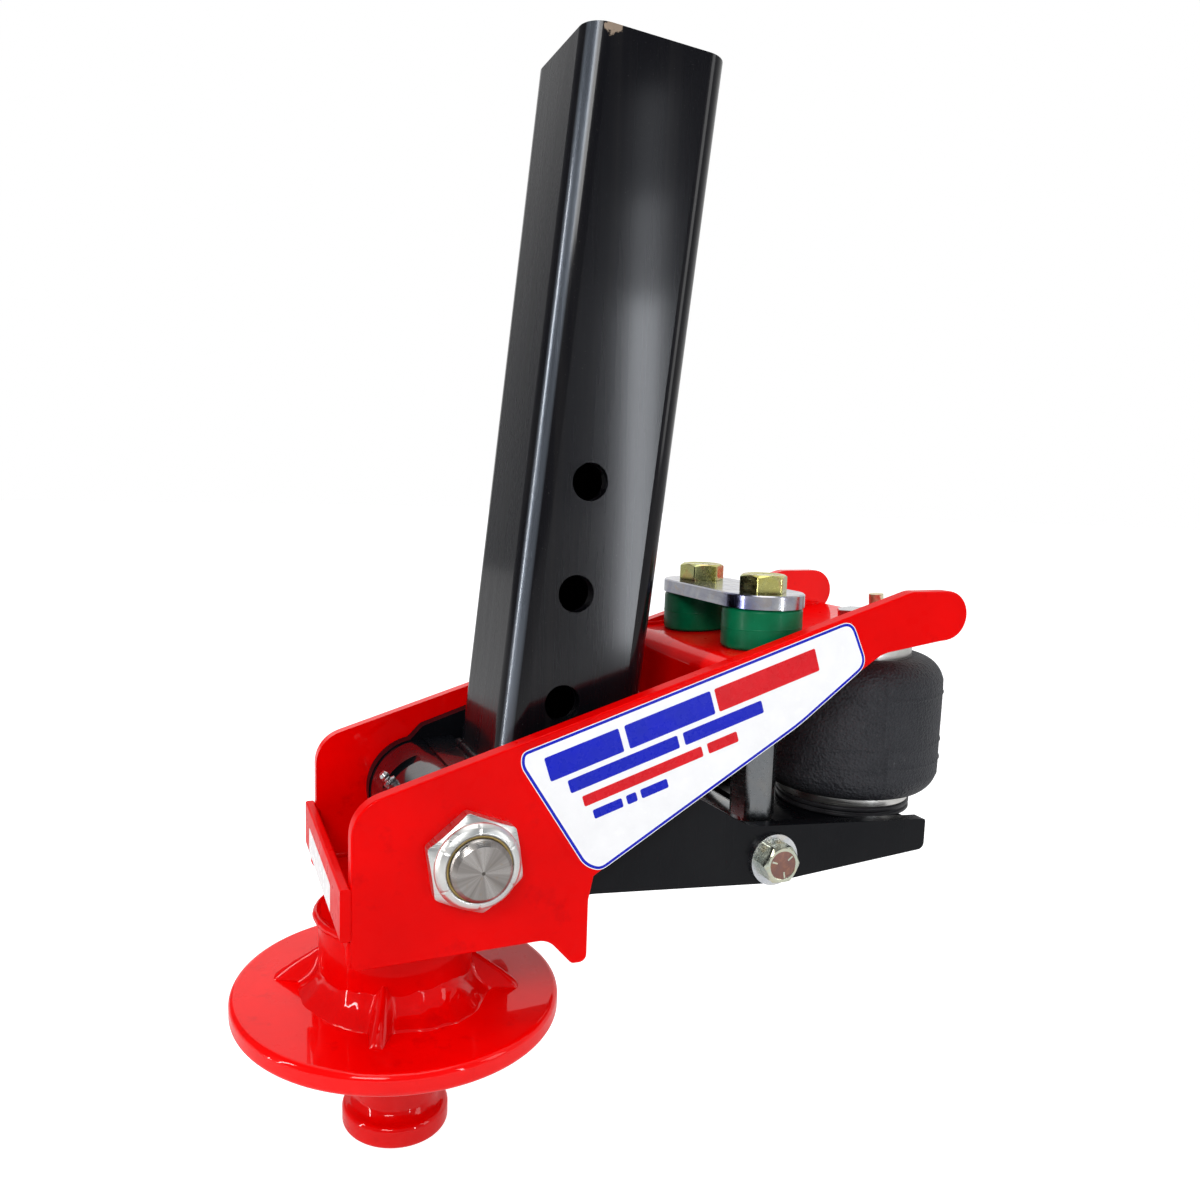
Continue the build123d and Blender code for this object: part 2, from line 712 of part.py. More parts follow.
# ---------------------------------------------------------------- damper link
def make_cross_bolt():
    washer_thick = 3.2
    washer = 35.0
    washer_face = ARM_OUTER + washer_thick
    tail = 8.0
    with BuildPart() as cross_bolt:
        add(bar_across_y(CROSS_X, CROSS_Z, CROSS_BOLT, -washer_face, washer_face + CROSS_NUT + tail))
        head_face = -washer_face - CROSS_BOLT_HEAD
        add(hex_across_y(CROSS_X, CROSS_Z, CROSS_BOLT_FLATS, head_face, -washer_face))
    save(cross_bolt.part, "cross_bolt")
    with BuildPart() as cross_washers:
        for low in (-washer_face, ARM_OUTER):
            add(bar_across_y(
                CROSS_X, CROSS_Z, washer, low, low + washer_thick, bore=CROSS_BOLT + 2 * CLEARANCE
            ))
    save(cross_washers.part, "cross_washers")
    nut = hex_across_y(
        CROSS_X, CROSS_Z, CROSS_BOLT_FLATS, washer_face, washer_face + CROSS_NUT, bore=CROSS_BOLT, turn=3
    )
    save(nut, "cross_nut")


def make_cross_tube():
    side_gap = 0.5
    reach = ARM_INNER - side_gap
    bore = CROSS_BOLT + 2 * RUNNING_PLAY
    save(bar_across_y(CROSS_X, CROSS_Z, CROSS_TUBE, -reach, reach, bore=bore), "cross_tube")


def make_standoffs_and_bolts():
    front, rear = DAMPER_X - BUSH, DAMPER_X + BUSH
    with BuildSketch() as under_bushes:
        with BuildLine():
            Polyline(
                (front, platform_top(front)), (rear, platform_top(rear)), (rear, 0), (front, 0), close=True
            )
        make_face()
    below_platform = slab(under_bushes.sketch, -SIDE_INNER, SIDE_INNER)
    foot = CROSS_Z + CROSS_TUBE / 2 - 1.5
    top = foot + STANDOFF_LENGTH
    strap_top = STRAP_BOTTOM + STRAP_THICK
    thread_depth = 30.0
    for name, side, turn in (("near", -1, 46.0), ("far", 1, 42.0)):
        y = side * DAMPER_Y
        with BuildPart() as standoff:
            add(hex_upright(DAMPER_X, y, STANDOFF_FLATS, foot + STANDOFF_FOOT, top, turn=turn))
            add(rod_upright(DAMPER_X, y, STANDOFF_FLATS, foot, foot + STANDOFF_FOOT))
            with Locations((DAMPER_X, y, top)):
                Hole(DAMPER_BOLT / 2, depth=thread_depth)
            saddle = bar_across_y(CROSS_X, CROSS_Z, CROSS_TUBE, -ARM_INNER, ARM_INNER)
            add(saddle, mode=Mode.SUBTRACT)
        save(standoff.part, f"standoff_{name}")
        with BuildPart() as damper_bolt:
            add(rod_upright(DAMPER_X, y, DAMPER_BOLT, top - thread_depth, strap_top))
            add(hex_upright(DAMPER_X, y, BOLT_FLATS, strap_top, strap_top + BOLT_HEAD, turn=turn))
        save(damper_bolt.part, f"damper_bolt_{name}")
        with BuildPart() as bush:
            with BuildSketch(Plane.XY.offset(STRAP_BOTTOM)):
                with Locations((DAMPER_X, y)):
                    Circle(BUSH / 2)
                    Circle(DAMPER_BOLT / 2 + CLEARANCE, mode=Mode.SUBTRACT)
            extrude(amount=PLATFORM_DROP - STRAP_BOTTOM)
            rims = [e for e in bush.edges().filter_by(GeomType.CIRCLE) if e.radius > DAMPER_BOLT]
            fillet(rims, radius=2.0)
        save(bush.part - below_platform, f"damper_bush_{name}")


def make_strap():
    with BuildPart() as damper_strap:
        with BuildSketch(Plane.XY.offset(STRAP_BOTTOM)):
            with Locations((DAMPER_X, 0)):
                SlotCenterToCenter(2 * DAMPER_Y, BUSH + 1.0, rotation=90)
            with Locations((DAMPER_X, -DAMPER_Y), (DAMPER_X, DAMPER_Y)):
                Circle(DAMPER_BOLT / 2 + CLEARANCE, mode=Mode.SUBTRACT)
        extrude(amount=STRAP_THICK)
        rims = damper_strap.faces().sort_by(Axis.Z)[-1].outer_wire().edges()
        chamfer(rims, length=0.8)
    save(damper_strap.part, "damper_strap")


make_king_pin()
make_round_plate()
make_pin_pipe()
make_gussets()
make_side_plates()
make_front_bar()
make_base_plate()
make_platform()
make_main_pin()
make_main_nut()
make_pivot_tube()
make_pivot_bushes()
make_grease_fitting()
make_stem_tube()
make_stem_fillers()
make_stem_brace()
make_arms()
make_bag_seat()
make_air_spring()
make_bag_sleeve()
make_bag_fasteners()
make_cross_bolt()
make_cross_tube()
make_standoffs_and_bolts()
make_strap()
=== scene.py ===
"""Looks of the air-cushioned gooseneck coupler. Metres, in the CAD frame: +Z up, near side at -Y."""
from math import cos, pi, radians, sin, tan

import bpy
from mathutils import Matrix, Vector, noise


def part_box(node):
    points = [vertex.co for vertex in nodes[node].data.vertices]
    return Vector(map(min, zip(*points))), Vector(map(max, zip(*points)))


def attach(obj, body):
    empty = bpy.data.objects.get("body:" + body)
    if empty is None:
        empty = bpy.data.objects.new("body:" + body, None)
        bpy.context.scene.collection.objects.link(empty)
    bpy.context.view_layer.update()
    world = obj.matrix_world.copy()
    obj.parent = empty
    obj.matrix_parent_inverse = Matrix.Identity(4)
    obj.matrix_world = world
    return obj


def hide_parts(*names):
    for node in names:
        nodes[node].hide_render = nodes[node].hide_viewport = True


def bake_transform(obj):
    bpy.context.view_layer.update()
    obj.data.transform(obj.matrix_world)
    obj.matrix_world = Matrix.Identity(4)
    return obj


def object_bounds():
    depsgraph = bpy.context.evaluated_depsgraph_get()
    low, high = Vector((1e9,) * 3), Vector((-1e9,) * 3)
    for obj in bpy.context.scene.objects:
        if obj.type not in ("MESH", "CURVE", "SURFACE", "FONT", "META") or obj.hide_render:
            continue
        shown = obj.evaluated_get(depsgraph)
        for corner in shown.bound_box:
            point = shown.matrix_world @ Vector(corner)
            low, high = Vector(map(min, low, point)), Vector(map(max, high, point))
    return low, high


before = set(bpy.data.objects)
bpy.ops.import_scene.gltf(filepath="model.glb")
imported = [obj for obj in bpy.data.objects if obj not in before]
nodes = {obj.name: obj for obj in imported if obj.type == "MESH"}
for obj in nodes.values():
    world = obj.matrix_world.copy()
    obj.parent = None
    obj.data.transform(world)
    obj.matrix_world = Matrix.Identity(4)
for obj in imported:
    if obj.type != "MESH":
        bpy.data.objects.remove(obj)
cad_low, cad_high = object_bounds()
MM = 0.001
UP = (0, 0, 1)
INCH = 25.4
SLOPE = radians(5.0)        # the platform, down towards the front
MAIN_FLATS, MAIN_RADIUS = 54.0, 18.25       # main pin's head and nut, its shank
DAMPER_FLATS, DAMPER_RADIUS = 28.6, 0.375 * INCH
CROSS_FLATS, CROSS_RADIUS = 23.8, 0.3125 * INCH


# ---- camera
def make_camera():
    turn, tilt, roll = radians(-18.86), radians(7.23), radians(1.27)
    back = Vector((sin(turn) * cos(tilt), -cos(turn) * cos(tilt), sin(tilt)))
    level = Vector((cos(turn), sin(turn), 0))
    upright = level.cross(-back)
    right = level * cos(roll) + upright * sin(roll)
    up = upright * cos(roll) - level * sin(roll)
    data = bpy.data.cameras.new("camera")
    data.sensor_width = 36.0
    data.lens = 29.774
    data.shift_x = 0.0674
    data.shift_y = 0.0043
    camera = bpy.data.objects.new("camera", data)
    placed = Matrix((right, up, back)).transposed().to_4x4()
    placed.translation = Vector((-0.12996, -0.61791, 0.34821))
    camera.matrix_world = placed
    bpy.context.scene.collection.objects.link(camera)
    bpy.context.scene.camera = camera


# ---- shader helpers
def start_material(name, color, rough, metal=0.0, coat=0.0, coat_rough=0.05, specular=0.5):
    made = bpy.data.materials.new(name)
    made.use_nodes = True
    tree = made.node_tree
    shader = tree.nodes["Principled BSDF"]
    shader.inputs["Base Color"].default_value = (*color, 1)
    shader.inputs["Roughness"].default_value = rough
    shader.inputs["Metallic"].default_value = metal
    shader.inputs["Coat Weight"].default_value = coat
    shader.inputs["Coat Roughness"].default_value = coat_rough
    shader.inputs["Specular IOR Level"].default_value = specular
    return made, tree, shader


def add_node(tree, kind, settings=None, **sockets):
    made = tree.nodes.new(kind)
    for key, value in (settings or {}).items():
        setattr(made, key, value)
    for key, value in sockets.items():
        made.inputs[key.replace("_", " ")].default_value = value
    return made


def vector_step(tree, kind, settings, value, **sockets):
    """A node that works on one vector; with no vector given, on the object's own coordinates."""
    made = add_node(tree, kind, settings, **sockets)
    tree.links.new(value or add_node(tree, "ShaderNodeTexCoord").outputs["Object"], made.inputs[0])
    return made


def place(tree, stretch=(1, 1, 1), shift=(0, 0, 0)):
    """The object's own coordinates, shifted and stretched."""
    return vector_step(tree, "ShaderNodeMapping", None, None, Scale=stretch, Location=shift).outputs[0]


def cloud(tree, where, scale, detail=3.0, rough=0.55, distort=0.0):
    made = add_node(tree, "ShaderNodeTexNoise", Scale=scale, Detail=detail, Roughness=rough,
                    Distortion=distort)
    tree.links.new(where, made.inputs["Vector"])
    return made.outputs["Fac"]


def remap(tree, value, low, high, out_low, out_high):
    made = add_node(tree, "ShaderNodeMapRange")
    for index, number in enumerate((low, high, out_low, out_high), start=1):
        made.inputs[index].default_value = number
    tree.links.new(value, made.inputs[0])
    return made.outputs[0]


def blend_colors(tree, factor, first, second, mode="MIX"):
    """Mix two colours, each a plain colour or another node's output."""
    made = add_node(tree, "ShaderNodeMix", {"data_type": "RGBA", "blend_type": mode})
    tree.links.new(factor, made.inputs[0])
    for socket, value in ((made.inputs[6], first), (made.inputs[7], second)):
        if isinstance(value, tuple):
            socket.default_value = (*value, 1)
        else:
            tree.links.new(value, socket)
    return made.outputs[2]


def arithmetic(tree, operation, first, second):
    made = add_node(tree, "ShaderNodeMath", {"operation": operation})
    for socket, value in zip(made.inputs, (first, second)):
        if isinstance(value, (int, float)):
            socket.default_value = value
        else:
            tree.links.new(value, socket)
    return made.outputs[0]


def wire(tree, shader, color, rough, height, strength, distance):
    """Plug a colour, a roughness and a bump height into a shader."""
    made = add_node(tree, "ShaderNodeBump", Strength=strength, Distance=distance)
    tree.links.new(height, made.inputs["Height"])
    tree.links.new(made.outputs["Normal"], shader.inputs["Normal"])
    tree.links.new(color, shader.inputs["Base Color"])
    tree.links.new(rough, shader.inputs["Roughness"])


def spot(tree, centre, radius):
    """1 at a place on the object, falling to 0 at the radius."""
    gap = vector_step(tree, "ShaderNodeVectorMath", {"operation": "DISTANCE"}, None)
    gap.inputs[1].default_value = centre
    return remap(tree, gap.outputs["Value"], 0.0, radius, 1.0, 0.0)


def line_gap(tree, start, axis):
    """Distance from a straight line on the object."""
    away = vector_step(tree, "ShaderNodeVectorMath", {"operation": "SUBTRACT"}, None)
    away.inputs[1].default_value = start
    across = vector_step(tree, "ShaderNodeVectorMath", {"operation": "CROSS_PRODUCT"}, away.outputs[0])
    across.inputs[1].default_value = axis
    reach = vector_step(tree, "ShaderNodeVectorMath", {"operation": "LENGTH"}, across.outputs[0])
    return reach.outputs["Value"]


# ---- materials
def red_enamel(name, gloss, lift=1.0):
    made, tree, shader = start_material(name, (0.74, 0, 0), 0.30, coat=gloss, coat_rough=0.03, specular=0.02)
    where = place(tree)
    broad = remap(tree, cloud(tree, where, 14.0, 4.0), 0.3, 0.7, 0.0, 1.0)
    # lift scales the base red; lifted above 1 it is painted light, a brighter copy of the same enamel.
    color = blend_colors(tree, broad, (0.66 * lift, 0.0, 0.0), (0.80 * lift, 0.0, 0.0))
    thin = remap(tree, cloud(tree, where, 45.0, 5.0, 0.65), 0.58, 0.74, 0.0, 0.35)
    color = blend_colors(tree, thin, color, (0.42, 0.0, 0.002))
    dust = remap(tree, cloud(tree, where, 900.0, 2.0), 0.72, 0.80, 0.0, 0.22)
    color = blend_colors(tree, dust, color, (0.80, 0.06, 0.05))
    wire(tree, shader, color,
         remap(tree, cloud(tree, where, 60.0, 5.0), 0.3, 0.7, 0.24, 0.40),
         cloud(tree, where, 170.0, 2.0, 0.5), 0.12, 0.0007)
    return made


def black_enamel(name, gloss):
    made, tree, shader = start_material(
        name, (0.004, 0.0045, 0.006), 0.30, coat=gloss, coat_rough=0.06, specular=0.06
    )
    where = place(tree)
    broad = remap(tree, cloud(tree, where, 9.0, 5.0), 0.35, 0.68, 0.0, 1.0)
    color = blend_colors(tree, broad, (0.0022, 0.0026, 0.0040), (0.0075, 0.0078, 0.0090))
    grit = remap(tree, cloud(tree, where, 1100.0, 2.0), 0.70, 0.80, 0.0, 0.4)
    color = blend_colors(tree, grit, color, (0.06, 0.06, 0.065))
    smear = cloud(tree, place(tree, (1, 1, 0.12)), 55.0, 5.0)
    wire(tree, shader, color,
         remap(tree, smear, 0.3, 0.7, 0.20, 0.38), cloud(tree, where, 240.0, 2.0), 0.10, 0.0006)
    return made


def stem_enamel(top, corner, axis):
    """The stem's thinner black coat: mill marks, dust, a chip at its top, and a painted highlight: a dark
    metallic band along one corner that mirrors the strip light as a bright line.
    """
    made, tree, shader = start_material(
        "stem_enamel", (0.004, 0.004, 0.005), 0.3, coat=0.42, coat_rough=0.11, specular=0.05
    )
    where = place(tree)
    along = cloud(tree, place(tree, (1, 1, 0.03)), 120.0, 4.0)
    broad = remap(tree, cloud(tree, where, 6.0, 4.0), 0.3, 0.7, 0.0, 1.0)
    color = blend_colors(tree, broad, (0.0020, 0.0020, 0.0034), (0.0052, 0.0050, 0.0062))
    color = blend_colors(tree, remap(tree, along, 0.55, 0.75, 0.0, 0.5), color, (0.012, 0.011, 0.011))
    specks = remap(tree, cloud(tree, where, 1300.0, 1.0), 0.71, 0.80, 0.0, 0.5)
    color = blend_colors(tree, specks, color, (0.09, 0.085, 0.08))
    chip = arithmetic(tree, "MULTIPLY", spot(tree, top, 0.011), cloud(tree, where, 260.0, 3.0))
    chip = remap(tree, chip, 0.22, 0.26, 0.0, 1.0)
    color = blend_colors(tree, chip, color, (0.26, 0.20, 0.15))
    # Painted highlight: a band of dark metal along the near front corner, so that it mirrors the strip light
    # as a bright line.
    painted_highlight_band = remap(tree, line_gap(tree, corner, axis), 0.0055, 0.0085, 1.0, 0.0)
    color = blend_colors(tree, painted_highlight_band, color, (0.15, 0.17, 0.20))
    tree.links.new(painted_highlight_band, shader.inputs["Metallic"])
    height = arithmetic(tree, "ADD", cloud(tree, where, 380.0, 2.0), arithmetic(tree, "MULTIPLY", along, 0.8))
    wire(tree, shader, color, remap(tree, along, 0.3, 0.7, 0.20, 0.36), height, 0.08, 0.0005)
    return made


def zinc(name, color, second, third, rough=(0.16, 0.36), tint_scale=45.0, painted_reflection_at=None):
    """Plated steel with a cloudy tint, fine wipe marks and small pits, and, if a place is given, a painted
    reflection there: a dark blue spot.
    """
    made, tree, shader = start_material(name, color, 0.25, metal=1.0)
    where = place(tree)
    tint = remap(tree, cloud(tree, where, tint_scale, 4.0, 0.6, 0.6), 0.32, 0.68, 0.0, 1.0)
    mixed = blend_colors(tree, tint, color, second)
    rainbow = remap(tree, cloud(tree, where, tint_scale * 1.9, 3.0, 0.5, 1.2), 0.52, 0.72, 0.0, 0.75)
    mixed = blend_colors(tree, rainbow, mixed, third)
    pits = remap(tree, cloud(tree, where, 1000.0, 3.0), 0.68, 0.82, 0.0, 0.25)
    mixed = blend_colors(tree, pits, mixed, (0.20, 0.19, 0.17))
    if painted_reflection_at:
        # Painted reflection: a dark blue spot fading out over 20 mm, for the coloured reflection on the
        # strap's rounded end.
        painted_reflection_share = remap(tree, spot(tree, painted_reflection_at, 0.020), 0.0, 0.7, 0.0, 0.9)
        mixed = blend_colors(tree, painted_reflection_share, mixed, (0.10, 0.11, 0.27))
    wipes = cloud(tree, place(tree, (1.0, 0.15, 1.0)), 420.0, 4.0)
    wire(tree, shader, mixed, remap(tree, wipes, 0.3, 0.7, *rough), wipes, 0.06, 0.0002)
    return made


def turned_steel():
    """Saw-cut and faced pin end: light and dark rays from the centre, fine rings, a small centre dot."""
    made, tree, shader = start_material("turned_steel", (0.6, 0.57, 0.53), 0.28, metal=1.0)
    parts = vector_step(tree, "ShaderNodeSeparateXYZ", None, None)
    across = arithmetic(tree, "SUBTRACT", parts.outputs["X"], PIVOT[0])
    height = arithmetic(tree, "SUBTRACT", parts.outputs["Z"], PIVOT[1])
    angle = arithmetic(tree, "ARCTAN2", height, across)
    turn = add_node(tree, "ShaderNodeCombineXYZ")
    tree.links.new(arithmetic(tree, "SINE", angle, 0), turn.inputs[0])
    tree.links.new(arithmetic(tree, "COSINE", angle, 0), turn.inputs[1])
    rays = remap(tree, cloud(tree, turn.outputs[0], 1.7, 3.0, 0.60), 0.36, 0.64, 0.0, 1.0)
    distance = arithmetic(tree, "POWER", arithmetic(tree, "ADD", arithmetic(tree, "MULTIPLY", across, across),
                                                   arithmetic(tree, "MULTIPLY", height, height)), 0.5)
    rings = arithmetic(tree, "SINE", arithmetic(tree, "MULTIPLY", distance, 9000.0), 0)
    color = blend_colors(tree, rays, (0.22, 0.20, 0.185), (0.40, 0.38, 0.36))
    color = blend_colors(tree, remap(tree, distance, 0.0009, 0.0013, 1.0, 0.0), color, (0.10, 0.09, 0.08))
    rust = remap(tree, cloud(tree, place(tree), 240.0, 4.0), 0.60, 0.74, 0.0, 0.5)
    color = blend_colors(tree, rust, color, (0.30, 0.22, 0.15))
    wire(tree, shader, color, remap(tree, rays, 0.0, 1.0, 0.36, 0.22), rings, 0.10, 0.0001)
    return made


def satin_metal(name, color, dark):
    """Cap and crimp ring: satin plated steel with fine rings round the air spring's axis."""
    made, tree, shader = start_material(name, color, 0.34, metal=1.0)
    where = place(tree, (1, 1, 1), (-BAG_AXIS, 0, 0))
    cloudy = remap(tree, cloud(tree, where, 50.0, 4.0), 0.35, 0.7, 0.0, 1.0)
    fine = cloud(tree, place(tree, (0.1, 0.1, 6.0)), 400.0, 3.0)
    wire(tree, shader, blend_colors(tree, cloudy, color, dark),
         remap(tree, fine, 0.3, 0.7, 0.24, 0.44), fine, 0.10, 0.0002)
    return made


def rubber():
    """Sleeve rubber: pebbled skin, bloom and scuffs."""
    made, tree, shader = start_material("black_rubber", (0.022, 0.023, 0.027), 0.62, specular=0.30)
    where = place(tree)
    bloom = remap(tree, cloud(tree, where, 28.0, 6.0, 0.62), 0.32, 0.70, 0.0, 1.0)
    color = blend_colors(tree, bloom, (0.014, 0.015, 0.019), (0.036, 0.037, 0.042))
    scuffs = remap(tree, cloud(tree, place(tree, (1, 1, 0.35)), 300.0, 5.0, 0.7), 0.60, 0.74, 0.0, 0.5)
    color = blend_colors(tree, scuffs, color, (0.075, 0.076, 0.080))
    pebbles = add_node(tree, "ShaderNodeTexVoronoi", Scale=520.0)
    tree.links.new(where, pebbles.inputs["Vector"])
    grain = arithmetic(tree, "ADD", arithmetic(tree, "MULTIPLY", pebbles.outputs["Distance"], 0.7),
                       cloud(tree, where, 320.0, 4.0))
    wire(tree, shader, color, remap(tree, bloom, 0.0, 1.0, 0.50, 0.72), grain, 1.0, 0.0014)
    return made


def urethane():
    made, tree, shader = start_material("green_urethane", (0.0, 0.14, 0.055), 0.36, coat=0.05, coat_rough=0.2,
                                        specular=0.12)
    where = place(tree)
    mottled = remap(tree, cloud(tree, where, 60.0, 4.0), 0.3, 0.7, 0.0, 1.0)
    color = blend_colors(tree, mottled, (0.0, 0.100, 0.036), (0.0, 0.150, 0.060))
    flecks = remap(tree, cloud(tree, where, 900.0, 2.0), 0.68, 0.78, 0.0, 0.5)
    wire(tree, shader, blend_colors(tree, flecks, color, (0.04, 0.24, 0.13)),
         remap(tree, cloud(tree, where, 130.0, 4.0), 0.3, 0.7, 0.28, 0.50),
         cloud(tree, where, 420.0, 3.0), 0.15, 0.0004)
    return made


def plain_plastic(name, color, second, rough, grain_scale):
    """Moulded plastic or film: two close tones, uneven gloss and a fine grain."""
    made, tree, shader = start_material(name, color, sum(rough) / 2, specular=0.2)
    where = place(tree)
    patches = remap(tree, cloud(tree, where, 70.0, 4.0), 0.3, 0.7, 0.0, 1.0)
    wire(tree, shader, blend_colors(tree, patches, color, second),
         remap(tree, cloud(tree, where, 160.0, 4.0), 0.3, 0.7, *rough),
         cloud(tree, where, grain_scale, 2.0), 0.10, 0.0003)
    return made


# ---- mesh helpers
def make_mesh(name, points, faces, materials, body, face_materials=None, sharp=32.0):
    """One mesh piece in the row frame that rides on a CAD body."""
    mesh = bpy.data.meshes.new(name)
    mesh.from_pydata([tuple(p) for p in points], [], faces)
    for made in materials:
        mesh.materials.append(made)
    if face_materials:
        mesh.polygons.foreach_set("material_index", face_materials)
    mesh.validate()
    mesh.update()
    mesh.shade_smooth()
    mesh.set_sharp_from_angle(angle=radians(sharp))
    made = bpy.data.objects.new(name, mesh)
    bpy.context.scene.collection.objects.link(made)
    if body:
        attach(made, body)
    return made


def axes_along(axis):
    """Two directions square to an axis, so that (first, second, axis) is right-handed."""
    direction = Vector(axis).normalized()
    helper = Vector((1, 0, 0)) if abs(direction.x) < 0.9 else Vector((0, 0, 1))
    first = (helper - direction * helper.dot(direction)).normalized()
    return first, direction.cross(first), direction


def skin_rings(rings, closed_ring=False):
    """Faces between rings that run up an axis, with a fan where a ring is one point."""
    points, faces, starts = [], [], []
    for ring in rings:
        starts.append(len(points))
        points += ring
    pairs = list(zip(range(len(rings)), range(1, len(rings))))
    if closed_ring:
        pairs.append((len(rings) - 1, 0))
    for low, high in pairs:
        a, b = starts[low], starts[high]
        count_a, count_b = len(rings[low]), len(rings[high])
        for i in range(max(count_a, count_b)):
            j = (i + 1) % max(count_a, count_b)
            if count_a == 1:
                faces.append((a, b + j, b + i))
            elif count_b == 1:
                faces.append((a + i, a + j, b))
            else:
                faces.append((a + i, a + j, b + j, b + i))
    return points, faces


def round_corner(before, corner, after, radius, steps):
    """Points that ease one corner of a flat line, without using up its two sides."""
    here = Vector(corner)
    back, ahead = Vector(before) - here, Vector(after) - here
    reach = min(radius, back.length * 0.45, ahead.length * 0.45)
    start, end = here + back.normalized() * reach, here + ahead.normalized() * reach
    shares = [step / steps for step in range(steps + 1)]
    return [start * (1 - t) ** 2 + here * 2 * t * (1 - t) + end * t * t for t in shares]


def round_profile(profile, radius, steps=4):
    """Round every inner corner of a polyline profile."""
    made = [profile[0]]
    for before, corner, after in zip(profile, profile[1:], profile[2:]):
        made += [tuple(p) for p in round_corner(before, corner, after, radius, steps)]
    return made + [profile[-1]]


def lathe(name, profile, centre, axis, material, body, count=128, wobble=None, sharp=32.0):
    """Turn a profile of (radius, height) in mm about an axis; wobble may change the radius."""
    first, second, direction = axes_along(axis)
    origin = Vector(centre) * MM
    rings = []
    for radius, height in profile:
        base = origin + direction * height * MM
        if radius < 1e-6:
            rings.append([base])
            continue
        ring = []
        for i in range(count):
            angle = 2 * pi * i / count
            reach = radius + (wobble(angle, radius, height) if wobble else 0)
            ring.append(base + (first * cos(angle) + second * sin(angle)) * reach * MM)
        rings.append(ring)
    points, faces = skin_rings(rings)
    return make_mesh(name, points, faces, [material], body, sharp=sharp)


def hexagon_reach(angle, flats, turn):
    """Distance from the centre to a hexagon's side, with its corners eased."""
    wedge = (angle - radians(turn)) % (pi / 3) - pi / 6
    return min(flats / 2 / cos(wedge), flats / 2 * 1.135)


def hex_rings(flats, height, turn, bore, chamfer_low, dish, count=144):
    """Rings of (radius, height) per angle for a hexagon head or nut with its turned chamfers."""
    slope = tan(radians(28))
    flat_top = flats / 2 * 0.955
    ease = 0.35
    angles = [2 * pi * i / count for i in range(count)]
    sides = [hexagon_reach(angle, flats, turn) for angle in angles]

    def chamfered(side, end, sign):
        return end - sign * max(0.0, side - flat_top) * slope

    low = [chamfered(s, 0.0, -1) if chamfer_low else 0.0 for s in sides]
    high = [chamfered(s, height, 1) for s in sides]

    def even(*steps):
        return [[step] * count for step in steps]

    rings = even((bore / 2, 0.8), (bore / 2 + 0.9, 0.0)) if bore else even((flat_top * 0.5, 0.0))
    rings += even((flat_top, 0.0))
    rings.append([(s - ease, z) for s, z in zip(sides, low)])
    rings.append([(s, z + ease) for s, z in zip(sides, low)])
    rings.append([(s, z - ease) for s, z in zip(sides, high)])
    rings.append([(s - ease, z) for s, z in zip(sides, high)])
    rings += even((flat_top, height))
    if bore:
        rings += even((bore / 2 + 1.2, height), (bore / 2, height - 1.0))
    elif dish:
        rings += even((flat_top * 0.86, height), (flat_top * 0.78, height - dish),
                      (flat_top * 0.30, height - dish))
    return angles, rings


def hex_piece(name, centre, axis, flats, height, turn, materials, body, bore=0.0, shank=(), dish=0.0,
              chamfer_low=False):
    """Hexagon head or nut in mm. A turned shank below it is given as (radius, height), going up."""
    first, second, direction = axes_along(axis)
    origin = Vector(centre) * MM
    angles, profile = hex_rings(flats, height, turn, bore, chamfer_low, dish)
    for radius, level in reversed(shank):
        profile.insert(0, [(radius, level) for _ in angles])
    rings = []
    for level in profile:
        rings.append([
            origin + (first * cos(a) + second * sin(a)) * r * MM + direction * z * MM
            for a, (r, z) in zip(angles, level)
        ])
    if not bore:
        rings.append([origin + direction * (height - dish) * MM])
        lowest = shank[0][1] if shank else 0.0
        rings.insert(0, [origin + direction * lowest * MM])
    points, faces = skin_rings(rings, bool(bore))
    return make_mesh(name, points, faces, materials, body, sharp=24.0)


def thread(radius, low, high, pitch=1.6, depth=0.55):
    """Profile of thread crests and roots going up."""
    made, level = [], low
    while level + pitch <= high:
        made += [(radius - depth, level), (radius, level + pitch * 0.5)]
        level += pitch
    made.append((radius - depth, high))
    return made


def bead_points(path, width, pitch=3.4, seed=0.0, closed=False, sides=12, flatten=0.8):
    """Rings of a weld bead: an uneven round rope with overlapping scallops."""
    route = [Vector(p) for p in path]
    if closed:
        route.append(route[0])
    lengths = [0.0]
    for start, end in zip(route, route[1:]):
        lengths.append(lengths[-1] + (end - start).length)
    total = lengths[-1]
    count = max(6, int(total / 0.9))
    rings, piece = [], 0
    stops = range(count if closed else count + 1)
    for k in stops:
        s = total * k / count
        while piece < len(lengths) - 2 and s > lengths[piece + 1]:
            piece += 1
        share = (s - lengths[piece]) / max(lengths[piece + 1] - lengths[piece], 1e-6)
        here = route[piece].lerp(route[piece + 1], share)
        direction = (route[piece + 1] - route[piece]).normalized()
        first, second, _ = axes_along(direction)
        scallop = 0.10 * (1 - abs(2 * ((s / pitch) % 1.0) - 1))
        lump = 0.22 * noise.noise(here * 0.16 + Vector((seed, 0, seed)))
        taper = 1.0 if closed else min(1.0, 0.45 + 0.55 * min(s, total - s) / width)
        reach = width * taper * (0.92 + scallop + lump)
        ring = []
        for i in range(sides):
            a = 2 * pi * i / sides
            rough = 1 + 0.07 * noise.noise(here * 0.6 + Vector((cos(a) * 2, sin(a) * 2, seed)))
            ring.append((here + (first * cos(a) + second * sin(a)) * reach * rough * flatten) * MM)
        rings.append(ring)
    return rings


def add_rings(points, faces, rings, closed):
    """Adds rings to a piece, closed round or with a cap at each end."""
    if not closed:
        for at, ring in ((0, rings[0]), (len(rings) + 1, rings[-1])):
            rings.insert(at, [sum(ring, Vector()) / len(ring)])
    got, skin = skin_rings(rings, closed)
    base = len(points)
    points += got
    faces += [tuple(base + i for i in face) for face in skin]


